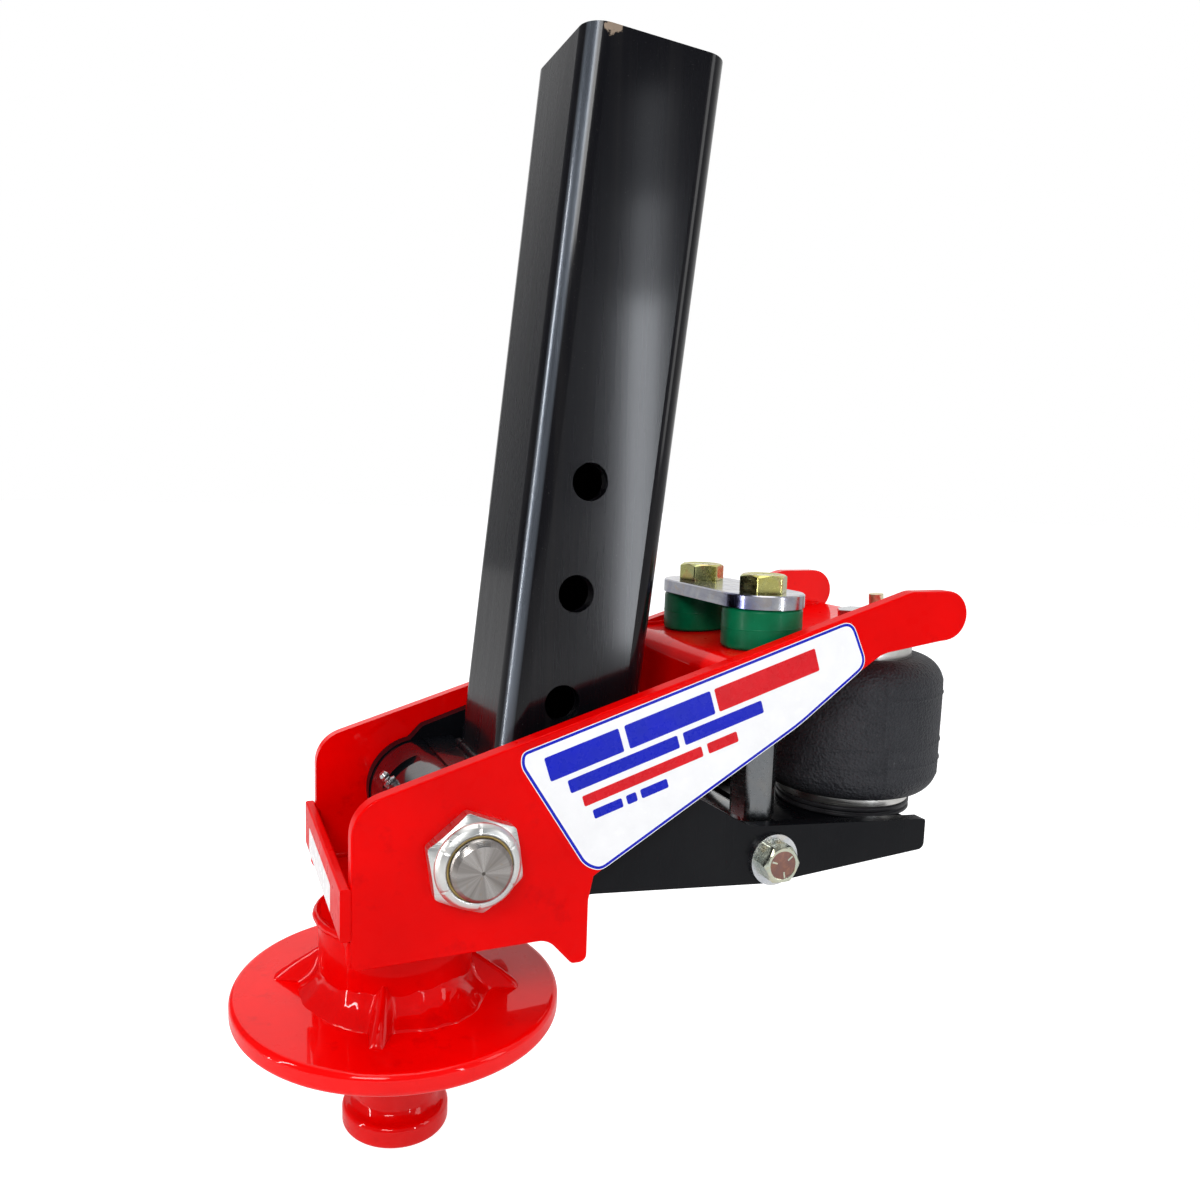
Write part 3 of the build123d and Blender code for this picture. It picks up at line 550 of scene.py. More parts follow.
def beads(name, paths, width, material, body, seed=0.0):
    """Several weld beads, joined in one piece."""
    points, faces = [], []
    for index, path in enumerate(paths):
        add_rings(points, faces, bead_points(path, width, seed=seed + index * 7.3), False)
    return make_mesh(name, points, faces, [material], body, sharp=60.0)


def circle_path(centre, radius, axis, count=72, start=0.0, sweep=360.0):
    """Points round an arc in mm."""
    first, second, _ = axes_along(axis)
    made = []
    for i in range(count if sweep == 360.0 else count + 1):
        a = radians(start + sweep * i / count)
        made.append(Vector(centre) + (first * cos(a) + second * sin(a)) * radius)
    return made


# ---- sizes from the CAD, in mm
def span(node):
    low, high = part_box(node)
    return low / MM, high / MM


pin_low, pin_high = span("main_pin")
bush_low, bush_high = span("pivot_tube")
PIVOT = ((bush_low.x + bush_high.x) / 2 * MM, (bush_low.z + bush_high.z) / 2 * MM)
PIVOT_X, PIVOT_Z = PIVOT[0] / MM, PIVOT[1] / MM
sleeve_low, sleeve_high = span("bag_sleeve")
BAG_X = (sleeve_low.x + sleeve_high.x) / 2
BAG_AXIS = BAG_X * MM
side_low, side_high = span("side_plate_near")
SIDE_OUTER = -side_low.y
SIDE_INNER = -side_high.y
ARM_INNER = -span("arm_near")[1].y
PLATE_TOP = span("round_plate")[1].z
strap_low, strap_high = span("damper_strap")
platform_low, platform_high = span("platform")
PLATFORM_RISE = tan(SLOPE)
PLATFORM_SEAT = 241.0       # the platform's top at the damper bolts
DAMPER_X = (strap_low.x + strap_high.x) / 2
STEM_LEAN = radians(5.95)
STEM_FRONT = 35.4
STEM_HALF = span("stem_tube")[1].y


def platform_top(x):
    return PLATFORM_SEAT + PLATFORM_RISE * (x - DAMPER_X)


def stem_point(along, up, y=0.0):
    return Vector((
        along * cos(STEM_LEAN) + up * sin(STEM_LEAN), y, -along * sin(STEM_LEAN) + up * cos(STEM_LEAN)
    ))


# ---- the materials in use
STEM_TOP_CORNER = tuple(stem_point(STEM_FRONT + 16, 622, -STEM_HALF) * MM)
RED = red_enamel("red_enamel", 0.10, 1.03)
WET_RED = red_enamel("wet_red_enamel", 0.60, 0.98)
# Painted light: the same enamel with its base red lifted 1.22 times, for the parts that should look more lit.
LIT_RED = red_enamel("lit_red_enamel", 0.55, 1.22)
BLACK = black_enamel("black_enamel", 0.12)
WET_BLACK = black_enamel("wet_black_enamel", 0.90)
STEM_BLACK = stem_enamel(
    STEM_TOP_CORNER, tuple(stem_point(STEM_FRONT, 0, -STEM_HALF) * MM), tuple(stem_point(0, 1))
)
BRIGHT = zinc("bright_zinc", (0.62, 0.63, 0.63), (0.50, 0.52, 0.55), (0.62, 0.58, 0.50), (0.18, 0.34))
NUT_STEEL = satin_metal("nut_steel", (0.72, 0.72, 0.69), (0.60, 0.61, 0.60))
HEX_ZINC = zinc("hex_zinc", (0.20, 0.205, 0.205), (0.16, 0.17, 0.18), (0.22, 0.215, 0.20), (0.20, 0.30), 16.0)
HEAD_BROWN = zinc("head_brown", (0.26, 0.13, 0.10), (0.20, 0.12, 0.11), (0.34, 0.18, 0.12),
                  (0.30, 0.44), 120.0)
PALE_ZINC = zinc("pale_zinc", (0.60, 0.60, 0.46), (0.48, 0.54, 0.46), (0.62, 0.52, 0.30), (0.16, 0.30))
# The strap's painted reflection, a dark blue spot, sits at its front end, 17 mm in from its near edge.
STRAP_ZINC = zinc("strap_zinc", (0.50, 0.51, 0.53), (0.34, 0.34, 0.41), (0.45, 0.39, 0.34),
                  (0.12, 0.26), 70.0, (strap_low.x * MM, (strap_low.y + 17.0) * MM, strap_low.z * MM))
YELLOW = zinc("yellow_zinc", (0.58, 0.53, 0.16), (0.46, 0.50, 0.26), (0.60, 0.34, 0.18), (0.16, 0.32))
STEEL = turned_steel()
CAP = satin_metal("cap_steel", (0.74, 0.73, 0.70), (0.56, 0.55, 0.52))
BRONZE = zinc("bronze", (0.60, 0.40, 0.18), (0.48, 0.30, 0.13), (0.70, 0.52, 0.26))
BRASS = zinc("brass", (0.86, 0.76, 0.48), (0.74, 0.66, 0.44), (0.90, 0.84, 0.62), (0.30, 0.45))
RUBBER = rubber()
GREEN = urethane()
NYLON = plain_plastic("nylon", (0.52, 0.38, 0.14), (0.38, 0.27, 0.09), (0.35, 0.55), 500.0)
COMPOSITE = plain_plastic("black_composite", (0.016, 0.016, 0.018), (0.030, 0.030, 0.033), (0.32, 0.52),
                          600.0)
FILM_WHITE = plain_plastic("film_white", (0.93, 0.93, 0.93), (0.88, 0.88, 0.885), (0.18, 0.30), 900.0)
FILM_BLUE = plain_plastic("film_blue", (0.002, 0.010, 0.50), (0.004, 0.014, 0.44), (0.22, 0.34), 900.0)
FILM_RED = plain_plastic("film_red", (0.72, 0.004, 0.012), (0.62, 0.004, 0.010), (0.22, 0.34), 900.0)

NODE_MATERIALS = {
    RED: ("side_plate_near", "front_bar", "base_plate", "pin_pipe"),
    WET_RED: ("pipe_gussets", "king_pin"),
    LIT_RED: ("side_plate_far", "round_plate", "platform"),
    BLACK: ("arm_near", "arm_far", "bag_seat"),
    WET_BLACK: ("stem_filler_near", "stem_filler_far", "stem_brace", "pivot_tube"),
    STEM_BLACK: ("stem_tube",),
    BRONZE: ("pivot_bush_near", "pivot_bush_far"),
    BRIGHT: ("grease_fitting", "bag_base_screw", "bag_top_screw", "cross_washers", "cross_nut"),
    NUT_STEEL: ("main_nut",),
    HEX_ZINC: ("cross_tube", "standoff_near", "standoff_far"),
    YELLOW: ("damper_bolt_near", "damper_bolt_far"),
    PALE_ZINC: ("cross_bolt",),
    STRAP_ZINC: ("damper_strap",),
    STEEL: ("main_pin",),
    CAP: ("bag_top_cap", "bag_crimp_ring"),
    BRASS: ("air_fitting",),
    RUBBER: ("bag_sleeve",),
    COMPOSITE: ("bag_base_disc",),
    GREEN: ("damper_bush_near", "damper_bush_far"),
    NYLON: ("main_nut_ring",),
}


def paint_nodes():
    for made, names in NODE_MATERIALS.items():
        for name in names:
            mesh = nodes[name].data
            mesh.materials.clear()
            mesh.materials.append(made)


# ---- air spring
def make_air_spring():
    """Sleeve with rolled shoulders, mould lines and a seam; cap, crimp ring and ribbed disc."""
    low, high = sleeve_low.z, sleeve_high.z
    radius = (sleeve_high.x - sleeve_low.x) / 2
    shoulder = 19.0
    ring_low, ring_high = span("bag_crimp_ring")
    cap_low, cap_high = span("bag_top_cap")
    neck = (cap_high.x - cap_low.x) / 2
    foot = (ring_high.x - ring_low.x) / 2
    profile = [(foot + 0.4, low + 4.0), (foot + 0.5, low + 0.6)]
    steps = 18
    for step in range(steps + 1):
        a = -pi / 2 + pi / 2 * step / steps
        profile.append((radius - shoulder + shoulder * cos(a), low + shoulder + shoulder * sin(a)))
    level = low + shoulder + 1.0
    while level < high - shoulder:
        profile.append((radius, level))
        level += 0.9
    for step in range(steps + 1):
        a = pi / 2 * step / steps
        profile.append((radius - shoulder + shoulder * cos(a), high - shoulder + shoulder * sin(a)))
    profile += [(neck + 0.8, high - 0.3), (neck + 0.4, high - 4.0)]
    mould_lines = (low + 15.0, low + 27.0, low + 41.0, high - 25.0, high - 15.0)
    seam_angle = radians(-104)

    def wobble(angle, reach, height):
        inside = -1.0
        if reach < radius - 12:
            return inside
        belly = 0.03 * sin(height * 2 * pi / 3.2)
        lines = sum(1.0 * max(0.0, 1 - abs(height - line) / 0.95) for line in mould_lines)
        upper = height > low + 42
        away = abs((angle - seam_angle - (0.0 if upper else 0.05) + pi) % (2 * pi) - pi) * radius
        seam = 1.0 * max(0.0, 1 - away / 1.3)
        dents = 0.30 * noise.noise(Vector((cos(angle) * 2, sin(angle) * 2, height * 0.05)))
        return inside + belly + lines + seam + dents

    sleeve = lathe("sleeve", profile, (BAG_X, 0, 0), UP, RUBBER, None, 288, wobble, sharp=70)
    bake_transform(sleeve)
    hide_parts("bag_sleeve")

    cap_profile = round_profile([
        (0, high - 6.0), (neck - 3.0, high - 6.0), (neck, high - 1.0), (neck, cap_high.z - 1.5),
        (neck - 1.2, cap_high.z), (0, cap_high.z),
    ], 1.0)
    cap = lathe("spring_cap", cap_profile, (BAG_X, 0, 0), UP, CAP, "coupler", 160)
    level = high + 6.0
    for vertex in cap.data.vertices:
        share = max(0.0, (vertex.co.z / MM - level) / (cap_high.z - level))
        under = platform_top(vertex.co.x / MM) - 8.05 / cos(SLOPE)
        vertex.co.z += share * (under - cap_high.z) * MM
    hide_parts("bag_top_cap")

    ring_profile = round_profile([
        (0, ring_low.z), (foot - 0.5, ring_low.z), (foot, ring_low.z + 0.6), (foot, ring_low.z + 4.6),
        (foot - 0.4, low + 0.2), (foot - 3.0, low + 3.0), (0, low + 3.0),
    ], 0.6)
    ring = lathe("crimp_ring", ring_profile, (BAG_X, 0, 0), UP, CAP, "trailer_frame", 160)
    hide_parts("bag_crimp_ring")

    disc_low, disc_high = span("bag_base_disc")
    edge = (disc_high.x - disc_low.x) / 2
    thick = disc_high.z - disc_low.z
    disc_profile = round_profile([
        (0, disc_low.z), (edge - 1.5, disc_low.z), (edge, disc_low.z + 0.8),
        (edge, disc_low.z + thick * 0.34),
        (edge - 1.6, disc_low.z + thick * 0.42), (edge - 1.6, disc_low.z + thick * 0.56),
        (edge, disc_low.z + thick * 0.64), (edge, disc_high.z - 0.8), (edge - 0.9, disc_high.z),
        (0, disc_high.z),
    ], 0.5)
    disc = lathe("base_disc", disc_profile, (BAG_X, 0, 0), UP, COMPOSITE, "trailer_frame",
                 160)
    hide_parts("bag_base_disc")


# ---- king pin and its welds
def make_king_pin():
    low, high = span("king_pin")
    flange = 71.1 / 2
    neck = 50.8 / 2
    collar = 73.0 / 2
    profile = round_profile([
        (0, low.z), (flange - 5.0, low.z), (flange - 1.2, low.z + 0.8), (flange, low.z + 2.6),
        (flange, low.z + 12.6), (flange - 1.6, low.z + 15.0), (neck + 4.0, low.z + 15.2),
        (neck, low.z + 20.0),
        (neck, -38.0), (collar - 1.0, -34.0), (collar, -32.0), (collar, 0.0), (collar - 0.6, 1.0),
        (29.0, 2.0), (29.0, high.z), (0, high.z),
    ], 2.2)
    pin = lathe("king_pin_painted", profile, (0, 0, 0), UP, WET_RED, "coupler", 144)
    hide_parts("king_pin")


def prism(points, faces, outline, normal, half):
    """Adds a prism whose outline is a list of points, thickened both ways along the normal."""
    base, count = len(points), len(outline)
    for side in (-1, 1):
        points += [(Vector(p) + Vector(normal) * half * side) * MM for p in outline]
    faces += skin_prism(base, count)


def add_flare(points, faces, centre_z, inner, reach, height):
    """A hollow-sided weld fillet round the pipe, uneven in height and reach."""
    count, steps = 120, 7
    rings = []
    for step in range(steps + 1):
        share = step / steps
        ring = []
        for i in range(count):
            a = 2 * pi * i / count
            uneven = 1 + 0.35 * noise.noise(Vector((cos(a) * 1.7, sin(a) * 1.7, 3.0)))
            uneven += 0.12 * noise.noise(Vector((cos(a) * 6.0, sin(a) * 6.0, 8.0)))
            out = inner + reach * uneven * (1 - share) ** 2.1
            ring.append(Vector((cos(a) * out, sin(a) * out, centre_z + height * uneven * share)) * MM)
        rings.append(ring)
    low = [Vector((p.x, p.y, (centre_z - 2) * MM)) for p in rings[0]]
    inside_low = [Vector((cos(2 * pi * i / count), sin(2 * pi * i / count), 0)) * (inner - 3) * MM
                  + Vector((0, 0, (centre_z - 2) * MM)) for i in range(count)]
    inside_high = [p + Vector((0, 0, (height + 2) * MM)) for p in inside_low]
    add_rings(points, faces, [low] + rings + [inside_high, inside_low], True)


def make_pipe_welds():
    """Ribs and welds under their thick paint, melted into one soft shape."""
    pipe = 101.6 / 2
    base = PLATE_TOP
    up = Vector((0, 0, 1))
    points, faces = [], []
    add_flare(points, faces, base, pipe, 14.0, 17.0)
    for quarter in range(4):
        turn = radians(-20 + 90 * quarter)
        outward, sideways = Vector((cos(turn), sin(turn), 0)), Vector((-sin(turn), cos(turn), 0))
        rings = []
        for station in range(15):
            share = station / 14
            height = 4.0 + 25.0 * (1 - share) ** 0.9
            half = (10.5 - 5.0 * share) * (1 + 0.10 * noise.noise(Vector((share * 4, quarter * 3.3, 1.0))))
            spine = outward * (pipe - 4 + (86 - pipe) * share) + up * (base - 2)
            ring = []
            for i in range(24):
                a = 2 * pi * i / 24
                rise = max(0.0, sin(a)) ** 0.8
                narrow = 1 - 0.62 * rise * (1 - 0.3 * share)
                ring.append((spine + sideways * half * cos(a) * narrow + up * (height * rise)) * MM)
            rings.append(ring)
        add_rings(points, faces, rings, False)
        for lump in range(4):
            away = turn + radians(16 + 18 * lump)
            out = pipe + 6 + 6 * noise.noise(Vector((lump * 1.7, quarter * 2.9, 0.5)))
            centre = Vector((cos(away) * out, sin(away) * out, base + 1.5))
            add_rings(points, faces, bead_points(
                circle_path(centre, 2.0, UP, 12), 3.8, seed=lump + quarter * 4.0, closed=True), True)
    upper = circle_path((0, 0, 65.0), pipe + 0.8, UP, 90)
    add_rings(points, faces, bead_points(upper, 4.2, seed=9.0, closed=True), True)
    welds = make_mesh("pipe_ribs_and_welds", points, faces, [WET_RED], None)
    melt(welds, 0.0013, 16)
    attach(welds, "coupler")
    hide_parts("pipe_gussets")


def melt(piece, voxel, smoothing):
    """Fuse a piece's overlapping parts and soften them, as thick paint does."""
    remesh = piece.modifiers.new("fuse", "REMESH")
    remesh.mode = "VOXEL"
    remesh.voxel_size = voxel
    remesh.use_smooth_shade = True
    soften = piece.modifiers.new("soften", "SMOOTH")
    soften.factor = 0.5
    soften.iterations = smoothing
    depsgraph = bpy.context.evaluated_depsgraph_get()
    final = bpy.data.meshes.new_from_object(piece.evaluated_get(depsgraph))
    materials = list(piece.data.materials)
    piece.modifiers.clear()
    piece.data = final
    final.materials.clear()
    for made in materials:
        final.materials.append(made)
    final.shade_smooth()


# ---- weld beads elsewhere
def make_red_welds():
    inner = SIDE_INNER
    front = side_low.x
    top = 76.5
    bar_low, bar_high = span("front_bar")
    paths = []
    for side in (-1, 1):
        y = side * (inner - 0.6)
        paths.append([Vector((front + 4, y, top + 0.6)), Vector((58, y, top + 0.6))])
        ends = (platform_low.x + 14, platform_high.x - 4)
        paths.append([Vector((x, y, platform_top(x) + 0.4)) for x in ends])
        paths.append([Vector((platform_low.x + 0.6, y, platform_low.z + 3)),
                      Vector((platform_low.x + 0.6, y, platform_top(platform_low.x) - 12))])
        paths.append([Vector((front + 0.6, y, bar_low.z + 2)), Vector((front + 0.6, y, bar_high.z - 2))])
        outer = side * (SIDE_OUTER - 2.2)
        paths.append([Vector((front - 0.4, outer, bar_low.z - 1)), Vector((front - 0.4, outer, 68.5))])
    beads("coupler_welds", paths, 3.0, RED, "coupler", seed=1.0)


def make_black_welds():
    seat_low, seat_high = span("bag_seat")
    paths = []
    for side in (-1, 1):
        y = side * (ARM_INNER - 0.6)
        paths.append([Vector((x, y, seat_high.z + 0.5)) for x in (seat_low.x + 3, seat_high.x - 3)])
        paths.append([stem_point(STEM_FRONT + 4, 176, side * (STEM_HALF + 1.0)),
                      stem_point(STEM_FRONT + 84, 208, side * (STEM_HALF + 1.0))])
    seam_up = 168.5
    paths.append([stem_point(STEM_FRONT - 0.8, seam_up, y) for y in (-STEM_HALF + 4, STEM_HALF - 4)])
    beads("frame_welds", paths, 3.6, BLACK, "trailer_frame", seed=4.0)


# ---- fasteners
def make_main_nut():
    low, high = span("main_nut")
    ring_low, ring_high = span("main_nut_ring")
    crown = ring_high.y - ring_low.y
    height = high.y - low.y - crown
    pin_radius, outer = MAIN_RADIUS, 26.3
    nut = hex_piece("pivot_nut", (PIVOT_X, high.y, PIVOT_Z), (0, -1, 0), MAIN_FLATS, height, 39.0,
                    [NUT_STEEL], "coupler", bore=2 * pin_radius + 0.2)
    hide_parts("main_nut")
    face = (PIVOT_X, ring_high.y, PIVOT_Z)

    def staked(angle, radius, level):
        """Six small punch marks on the collar's slope."""
        near = abs((angle * 6 / (2 * pi)) % 1.0 - 0.5)
        return -0.8 * max(0.0, 1 - near * 24) if level > crown * 0.5 and radius > 20.8 else 0.0

    inner = 19.8
    collar_profile = round_profile([
        (inner, 0.2), (outer, 0.2), (outer, crown - 4.4), (outer - 2.2, crown - 1.6),
        (inner + 1.4, crown - 0.05),
        (inner + 0.2, crown - 0.4), (inner, crown - 1.2), (inner, 0.2),
    ], 1.0)
    lathe("pivot_nut_collar", collar_profile, face, (0, -1, 0), NUT_STEEL, "coupler",
          288, staked)
    nylon_profile = round_profile([
        (pin_radius + 0.1, 0.2), (inner - 0.05, 0.2), (inner - 0.05, crown - 1.0), (inner - 0.6, crown - 0.9),
        (pin_radius + 0.1, crown - 1.6), (pin_radius + 0.1, 0.2),
    ], 0.3)
    ring = lathe("nylon_ring", nylon_profile, face, (0, -1, 0), NYLON, "coupler", 128)
    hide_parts("main_nut_ring")


def make_main_pin():
    """Pin with a faced near end, and its hexagon head at the far side."""
    near = -pin_low.y
    radius = MAIN_RADIUS
    head_low = SIDE_OUTER
    length = near + head_low
    stop = -length
    shank = [(radius - 2.6, stop), (radius - 2.2, stop + 0.3), (radius - 0.3, stop + 2.2)]
    shank += [(radius, stop + 2.5)]
    shank += thread(radius, stop + 2.6, stop + 24.0, 1.5, 0.45)
    shank += [(radius, stop + 24.4), (radius, -0.2)]
    head = pin_high.y - head_low
    pin = hex_piece("pivot_pin", (PIVOT_X, head_low, PIVOT_Z), (0, 1, 0), MAIN_FLATS, head, 8.0, [STEEL],
                    "coupler", shank=shank, dish=0.6)
    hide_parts("main_pin")


def make_grade_marks(name, centre, axis, radius, level, material, body, turn=0.0):
    """Three raised radial lines on a bolt head, at a third of a turn from each other."""
    first, second, direction = axes_along(axis)
    points, faces = [], []
    for index in range(3):
        a = radians(turn + 120 * index)
        outward = first * cos(a) + second * sin(a)
        sideways = direction.cross(outward)
        middle = Vector(centre) + direction * level
        corners = ((0.42, -0.5), (0.80, -0.6), (0.80, 0.6), (0.42, 0.5))
        outline = [middle + outward * (radius * reach) + sideways * half for reach, half in corners]
        prism(points, faces, outline, direction, 0.22)
    return make_mesh(name, points, faces, [material], body)


def make_damper_bolts():
    for side in ("near", "far"):
        low, high = span(f"damper_bolt_{side}")
        x, y = (low.x + high.x) / 2, (low.y + high.y) / 2
        under = strap_high.z
        turn = {"near": 46.0, "far": 42.0}[side]
        foot = low.z - under
        shank = thread(DAMPER_RADIUS, foot, foot + 26.0)
        shank += [(DAMPER_RADIUS, foot + 27.0), (DAMPER_RADIUS, -0.1)]
        bolt = hex_piece(f"strap_bolt_{side}", (x, y, under), UP, DAMPER_FLATS, high.z - under, turn,
                         [YELLOW], "damper_link", shank=shank, dish=0.5)
        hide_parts(f"damper_bolt_{side}")
        make_grade_marks(f"strap_bolt_marks_{side}", (x, y, under), UP, 13.6, high.z - under - 0.5, YELLOW,
                         "damper_link", turn + 12)


def make_cross_bolt():
    low, high = span("cross_bolt")
    washers_low, washers_high = span("cross_washers")
    x, z = (washers_low.x + washers_high.x) / 2, (washers_low.z + washers_high.z) / 2
    face = washers_low.y
    length = high.y - face
    radius = CROSS_RADIUS
    shank = [(radius - 1.8, -length), (radius - 0.6, -length + 1.2)]
    shank += thread(radius, -length + 1.4, -length + 30.0) + [(radius, -length + 30.4), (radius, -0.1)]
    head = face - low.y
    bolt = hex_piece("cross_bolt_detailed", (x, face, z), (0, -1, 0), CROSS_FLATS, head, 0.0, [PALE_ZINC],
                     "trailer_frame", shank=shank, dish=0.5)
    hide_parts("cross_bolt")
    top = head - 0.16
    top_profile = [(0.0, head - 0.9), (9.6, head - 0.9), (10.2, head - 0.3), (9.4, top), (0.0, top)]
    lathe("cross_bolt_face", top_profile, (x, face, z), (0, -1, 0), HEAD_BROWN, "trailer_frame",
          72)
    make_grade_marks("cross_bolt_marks", (x, face, z), (0, -1, 0), 11.0, head - 0.24, PALE_ZINC,
                     "trailer_frame", 40)
    nut_low, nut_high = span("cross_nut")
    height = nut_high.y - nut_low.y
    nut = hex_piece("cross_bolt_nut", (x, nut_low.y, z), (0, 1, 0), CROSS_FLATS, height, 3.0,
                    [BRIGHT], "trailer_frame", bore=2 * radius + 0.15, chamfer_low=True)
    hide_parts("cross_nut")


def make_bushes():
    """Moulded rings with eased rims and a fine parting line."""
    for side in ("near", "far"):
        low, high = span(f"damper_bush_{side}")
        x, y = (low.x + high.x) / 2, (low.y + high.y) / 2
        radius, bore = (high.x - low.x) / 2 - 0.05, 9.75
        height = high.z - low.z
        profile = round_profile([
            (bore, 0.0), (radius - 2.4, 0.0), (radius - 0.3, 1.8), (radius - 0.2, height * 0.5 - 0.5),
            (radius, height * 0.5), (radius - 0.2, height * 0.5 + 0.5), (radius - 0.3, height - 1.8),
            (radius - 2.4, height), (bore, height), (bore, 0.0),
        ], 1.4)
        bush = lathe(f"bush_{side}", profile, (x, y, low.z), UP, GREEN, "damper_link",
                     144, sharp=50)
        for vertex in bush.data.vertices:
            share = (vertex.co.z / MM - low.z) / height
            seat = PLATFORM_SEAT + PLATFORM_RISE * (vertex.co.x / MM - x) + 0.1
            vertex.co.z += (1 - share) * (seat - low.z) * MM
        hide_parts(f"damper_bush_{side}")


# ---- decal and label
def rounded_outline(corners, radius, steps=8):
    """Closed outline in two dimensions with rounded corners."""
    made = []
    for before, corner, after in zip([corners[-1]] + corners, corners, corners[1:] + corners[:1]):
        made += round_corner(before, corner, after, radius, steps)
    return made


def signed_area(outline):
    return sum(a.x * b.y - b.x * a.y for a, b in zip(outline, outline[1:] + outline[:1]))


def skin_prism(base, count):
    """Faces of a prism: its first ring of points, then its second."""
    faces = [tuple(base + i for i in reversed(range(count))), tuple(base + count + i for i in range(count))]
    for i in range(count):
        j = (i + 1) % count
        faces.append((base + i, base + j, base + count + j, base + count + i))
    return faces


def inset(outline, amount):
    """Move a clockwise or anticlockwise outline inwards."""
    sign = 1 if signed_area(outline) > 0 else -1
    made = []
    count = len(outline)
    for i in range(count):
        along = outline[(i + 1) % count] - outline[i - 1]
        if along.length < 1e-9:
            made.append(outline[i].copy())
            continue
        along.normalize()
        made.append(outline[i] + Vector((-along.y, along.x)) * amount * sign)
    return made


def film(name, layers, to_space, body):
    """Stacked thin shapes: each layer is (outline, material index, bottom, top) in mm above the surface."""
    points, faces, picks = [], [], []
    for outline, pick, bottom, top in layers:
        ordered = outline if signed_area(outline) > 0 else list(reversed(outline))
        base, count = len(points), len(ordered)
        points += [to_space(p, bottom) for p in ordered]
        points += [to_space(p, top) for p in ordered]
        faces += skin_prism(base, count)
        picks += [pick] * (count + 2)
    return make_mesh(name, points, faces, [FILM_WHITE, FILM_BLUE, FILM_RED], body, picks)


def make_decal():
    """White sign film on the near side plate, with a blue border and plain bars."""
    corners = [(57.0, 188.6), (56.6, 180.0), (99.0, 114.6), (110.0, 109.8), (248.0, 193.8), (297.6, 231.6),
               (283.4, 262.2)]
    outline = rounded_outline(corners, 9.0)
    border = inset(outline, 0.5)
    paper = inset(outline, 2.3)
    start = Vector(corners[0])
    along = (Vector(corners[-1]) - start).normalized()
    down = Vector((along.y, -along.x))

    def bar(low, high, drop, height):
        at = start + along * low + down * drop
        box = [at, at + along * (high - low), at + along * (high - low) + down * height, at + down * height]
        return rounded_outline([tuple(p) for p in box], 1.3, 4)

    layers = [(outline, 0, 0.0, 0.16), (border, 1, 0.16, 0.22), (paper, 0, 0.22, 0.28)]
    rows = (
        (12, 62, 8.5, 15.5, 1), (66, 127, 8.5, 15.5, 1), (130, 206, 8.5, 15.5, 2),
        (22, 98, 27.5, 8.5, 1), (102, 160, 27.5, 8.5, 1),
        (28, 112, 40.5, 7.0, 2), (116, 138, 40.5, 7.0, 2),
        (32, 52, 51.5, 6.0, 1), (55, 62, 51.5, 6.0, 1), (65, 84, 51.5, 6.0, 1),
    )
    for low, high, drop, height, pick in rows:
        layers.append((bar(low, high, drop, height), pick, 0.28, 0.34))

    def to_space(point, lift):
        return Vector((point.x, -SIDE_OUTER - lift - 0.02, point.y)) * MM

    film("decal", layers, to_space, "coupler")


def make_label():
    """Blank white label on the front bar."""
    low, high = span("front_bar")
    near, far = low.y + 38.0, high.y - 22.0
    bottom, top = low.z + 2.0, high.z - 12.0
    outline = rounded_outline([(near, bottom), (far, bottom), (far, top), (near, top)], 2.0)

    def to_space(point, lift):
        return Vector((low.x - lift - 0.02, point.x, point.y)) * MM

    film("front_label", [(outline, 0, 0.0, 0.16)], to_space, "coupler")


# ---- stage and light
def make_stage():
    floor_level = cad_low.z - 0.0005
    reach = 14.0
    count = 96
    turns = [2 * pi * i / count for i in range(count)]
    ring = [Vector((cos(a) * reach, sin(a) * reach, floor_level)) for a in turns]
    mesh = bpy.data.meshes.new("floor")
    mesh.from_pydata([tuple(p) for p in ring], [], [tuple(range(count))])
    made, tree, shader = start_material("floor", (0.55, 0.55, 0.555), 0.85, specular=0.05)
    shader.inputs["Emission Color"].default_value = (1, 1, 1, 1)
    seen = add_node(tree, "ShaderNodeLightPath").outputs["Is Camera Ray"]
    tree.links.new(remap(tree, seen, 0.0, 1.0, 0.32, 0.90), shader.inputs["Emission Strength"])
    speckle = remap(tree, cloud(tree, place(tree), 40.0, 3.0), 0.3, 0.7, 0.0, 1.0)
    color = blend_colors(tree, speckle, (0.54, 0.54, 0.545), (0.57, 0.57, 0.575))
    tree.links.new(color, shader.inputs["Base Color"])
    mesh.materials.append(made)
    floor = bpy.data.objects.new("floor", mesh)
    bpy.context.scene.collection.objects.link(floor)


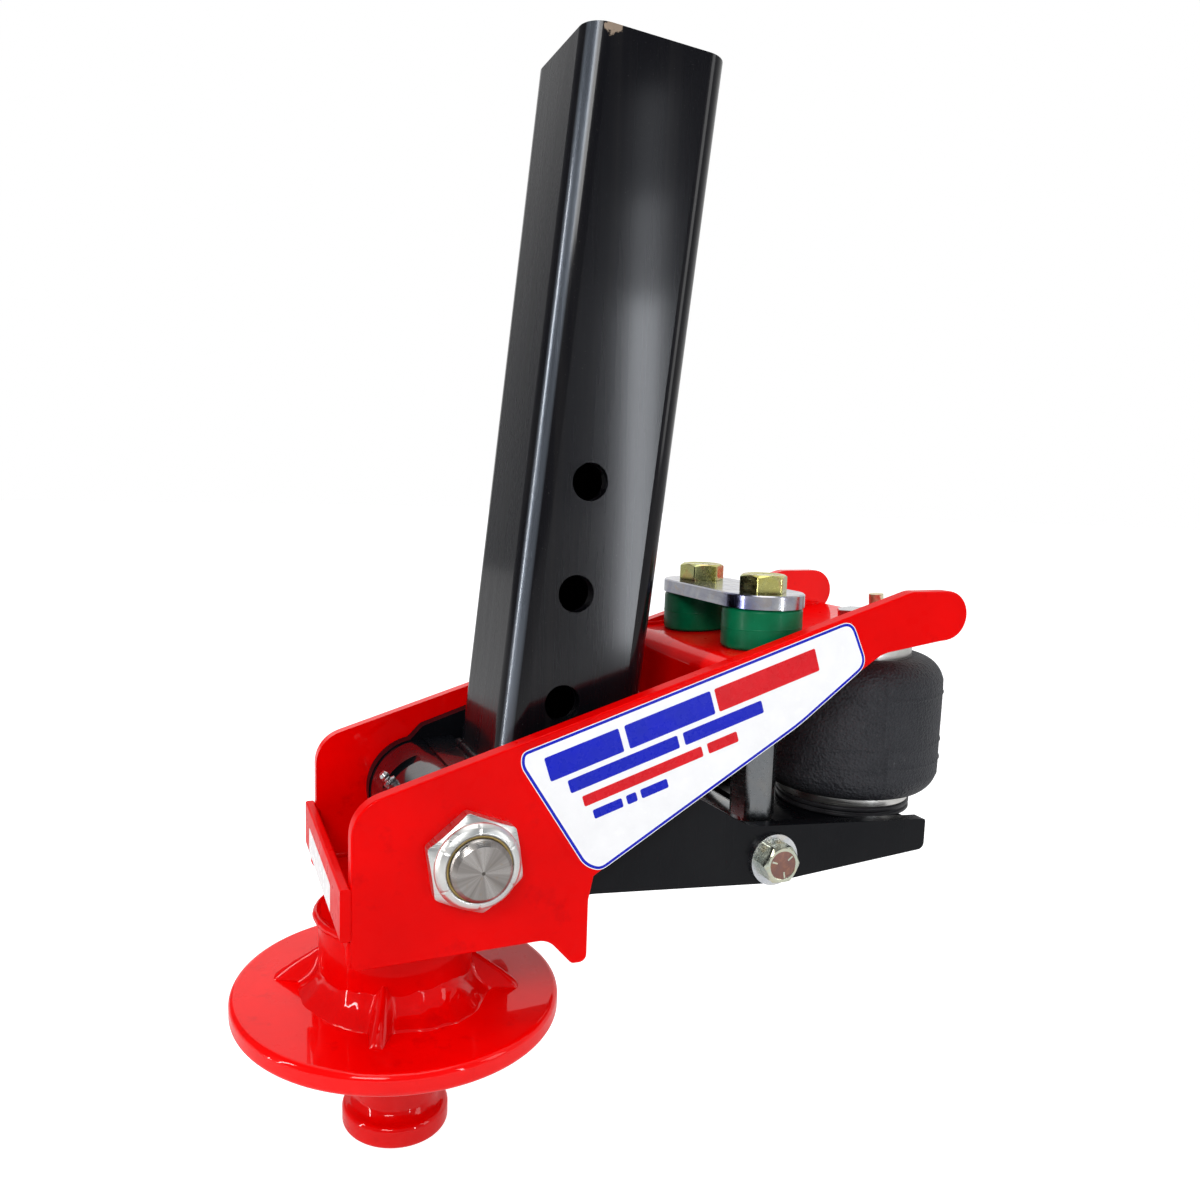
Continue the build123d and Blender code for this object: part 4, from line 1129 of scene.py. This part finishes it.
def make_light(name, place_at, aim, size, power, color=(1, 1, 1)):
    data = bpy.data.lights.new(name, "AREA")
    data.shape = "RECTANGLE"
    data.size, data.size_y = size
    data.energy = power
    data.color = color
    light = bpy.data.objects.new(name, data)
    light.location = place_at
    light.rotation_mode = "QUATERNION"
    light.rotation_quaternion = (Vector(aim) - Vector(place_at)).to_track_quat("-Z", "Y")
    bpy.context.scene.collection.objects.link(light)


def make_world():
    """White backdrop. What the paint mirrors is darker on the near side, so that black stays black."""
    world = bpy.data.worlds.new("studio")
    bpy.context.scene.world = world
    world.use_nodes = True
    tree = world.node_tree
    shader = tree.nodes["Background"]
    coords = add_node(tree, "ShaderNodeTexCoord")
    parts = vector_step(tree, "ShaderNodeSeparateXYZ", None, coords.outputs["Generated"])
    share = remap(tree, parts.outputs["Y"], -0.5, 0.2, 0.0, 1.0)
    color = blend_colors(tree, share, (0.20, 0.21, 0.23), (1.0, 1.0, 1.0))
    ahead = remap(tree, parts.outputs["X"], -0.18, -0.29, 0.0, 1.0)
    color = blend_colors(tree, ahead, color, (0.14, 0.145, 0.155))
    seen = add_node(tree, "ShaderNodeLightPath").outputs["Is Camera Ray"]
    tree.links.new(blend_colors(tree, seen, color, (1.0, 1.0, 1.0)), shader.inputs["Color"])
    shader.inputs["Strength"].default_value = 1.0


def make_lights():
    middle = (0.12, 0.0, 0.22)
    make_light("key", (-0.9, -1.6, 1.5), middle, (0.8, 0.8), 24.0)
    make_light("strip_left", (-1.7, -0.15, 0.55), middle, (0.10, 1.5), 14.0)
    make_light("fill_right", (1.7, -1.2, 0.9), middle, (0.5, 1.2), 6.0)
    make_light("top", (0.1, -0.1, 2.4), middle, (1.5, 1.5), 13.0)
    cool = (0.90, 0.94, 1.0)
    make_light("strip_stem", (0.96, -1.76, 0.34), middle, (0.07, 0.9), 3.0, cool)
    make_light("strip_stem_middle", (0.96, -1.76, 0.42), middle, (0.07, 1.2), 1.4, cool)
    make_light("strip_stem_high", (0.96, -1.76, 0.50), middle, (0.07, 1.5), 0.9, cool)


bpy.context.scene.view_settings.view_transform = "Standard"
make_camera()
make_world()
make_lights()
make_stage()
paint_nodes()
make_air_spring()
make_king_pin()
make_pipe_welds()
make_red_welds()
make_black_welds()
make_main_nut()
make_main_pin()
make_damper_bolts()
make_cross_bolt()
make_bushes()
make_decal()
make_label()
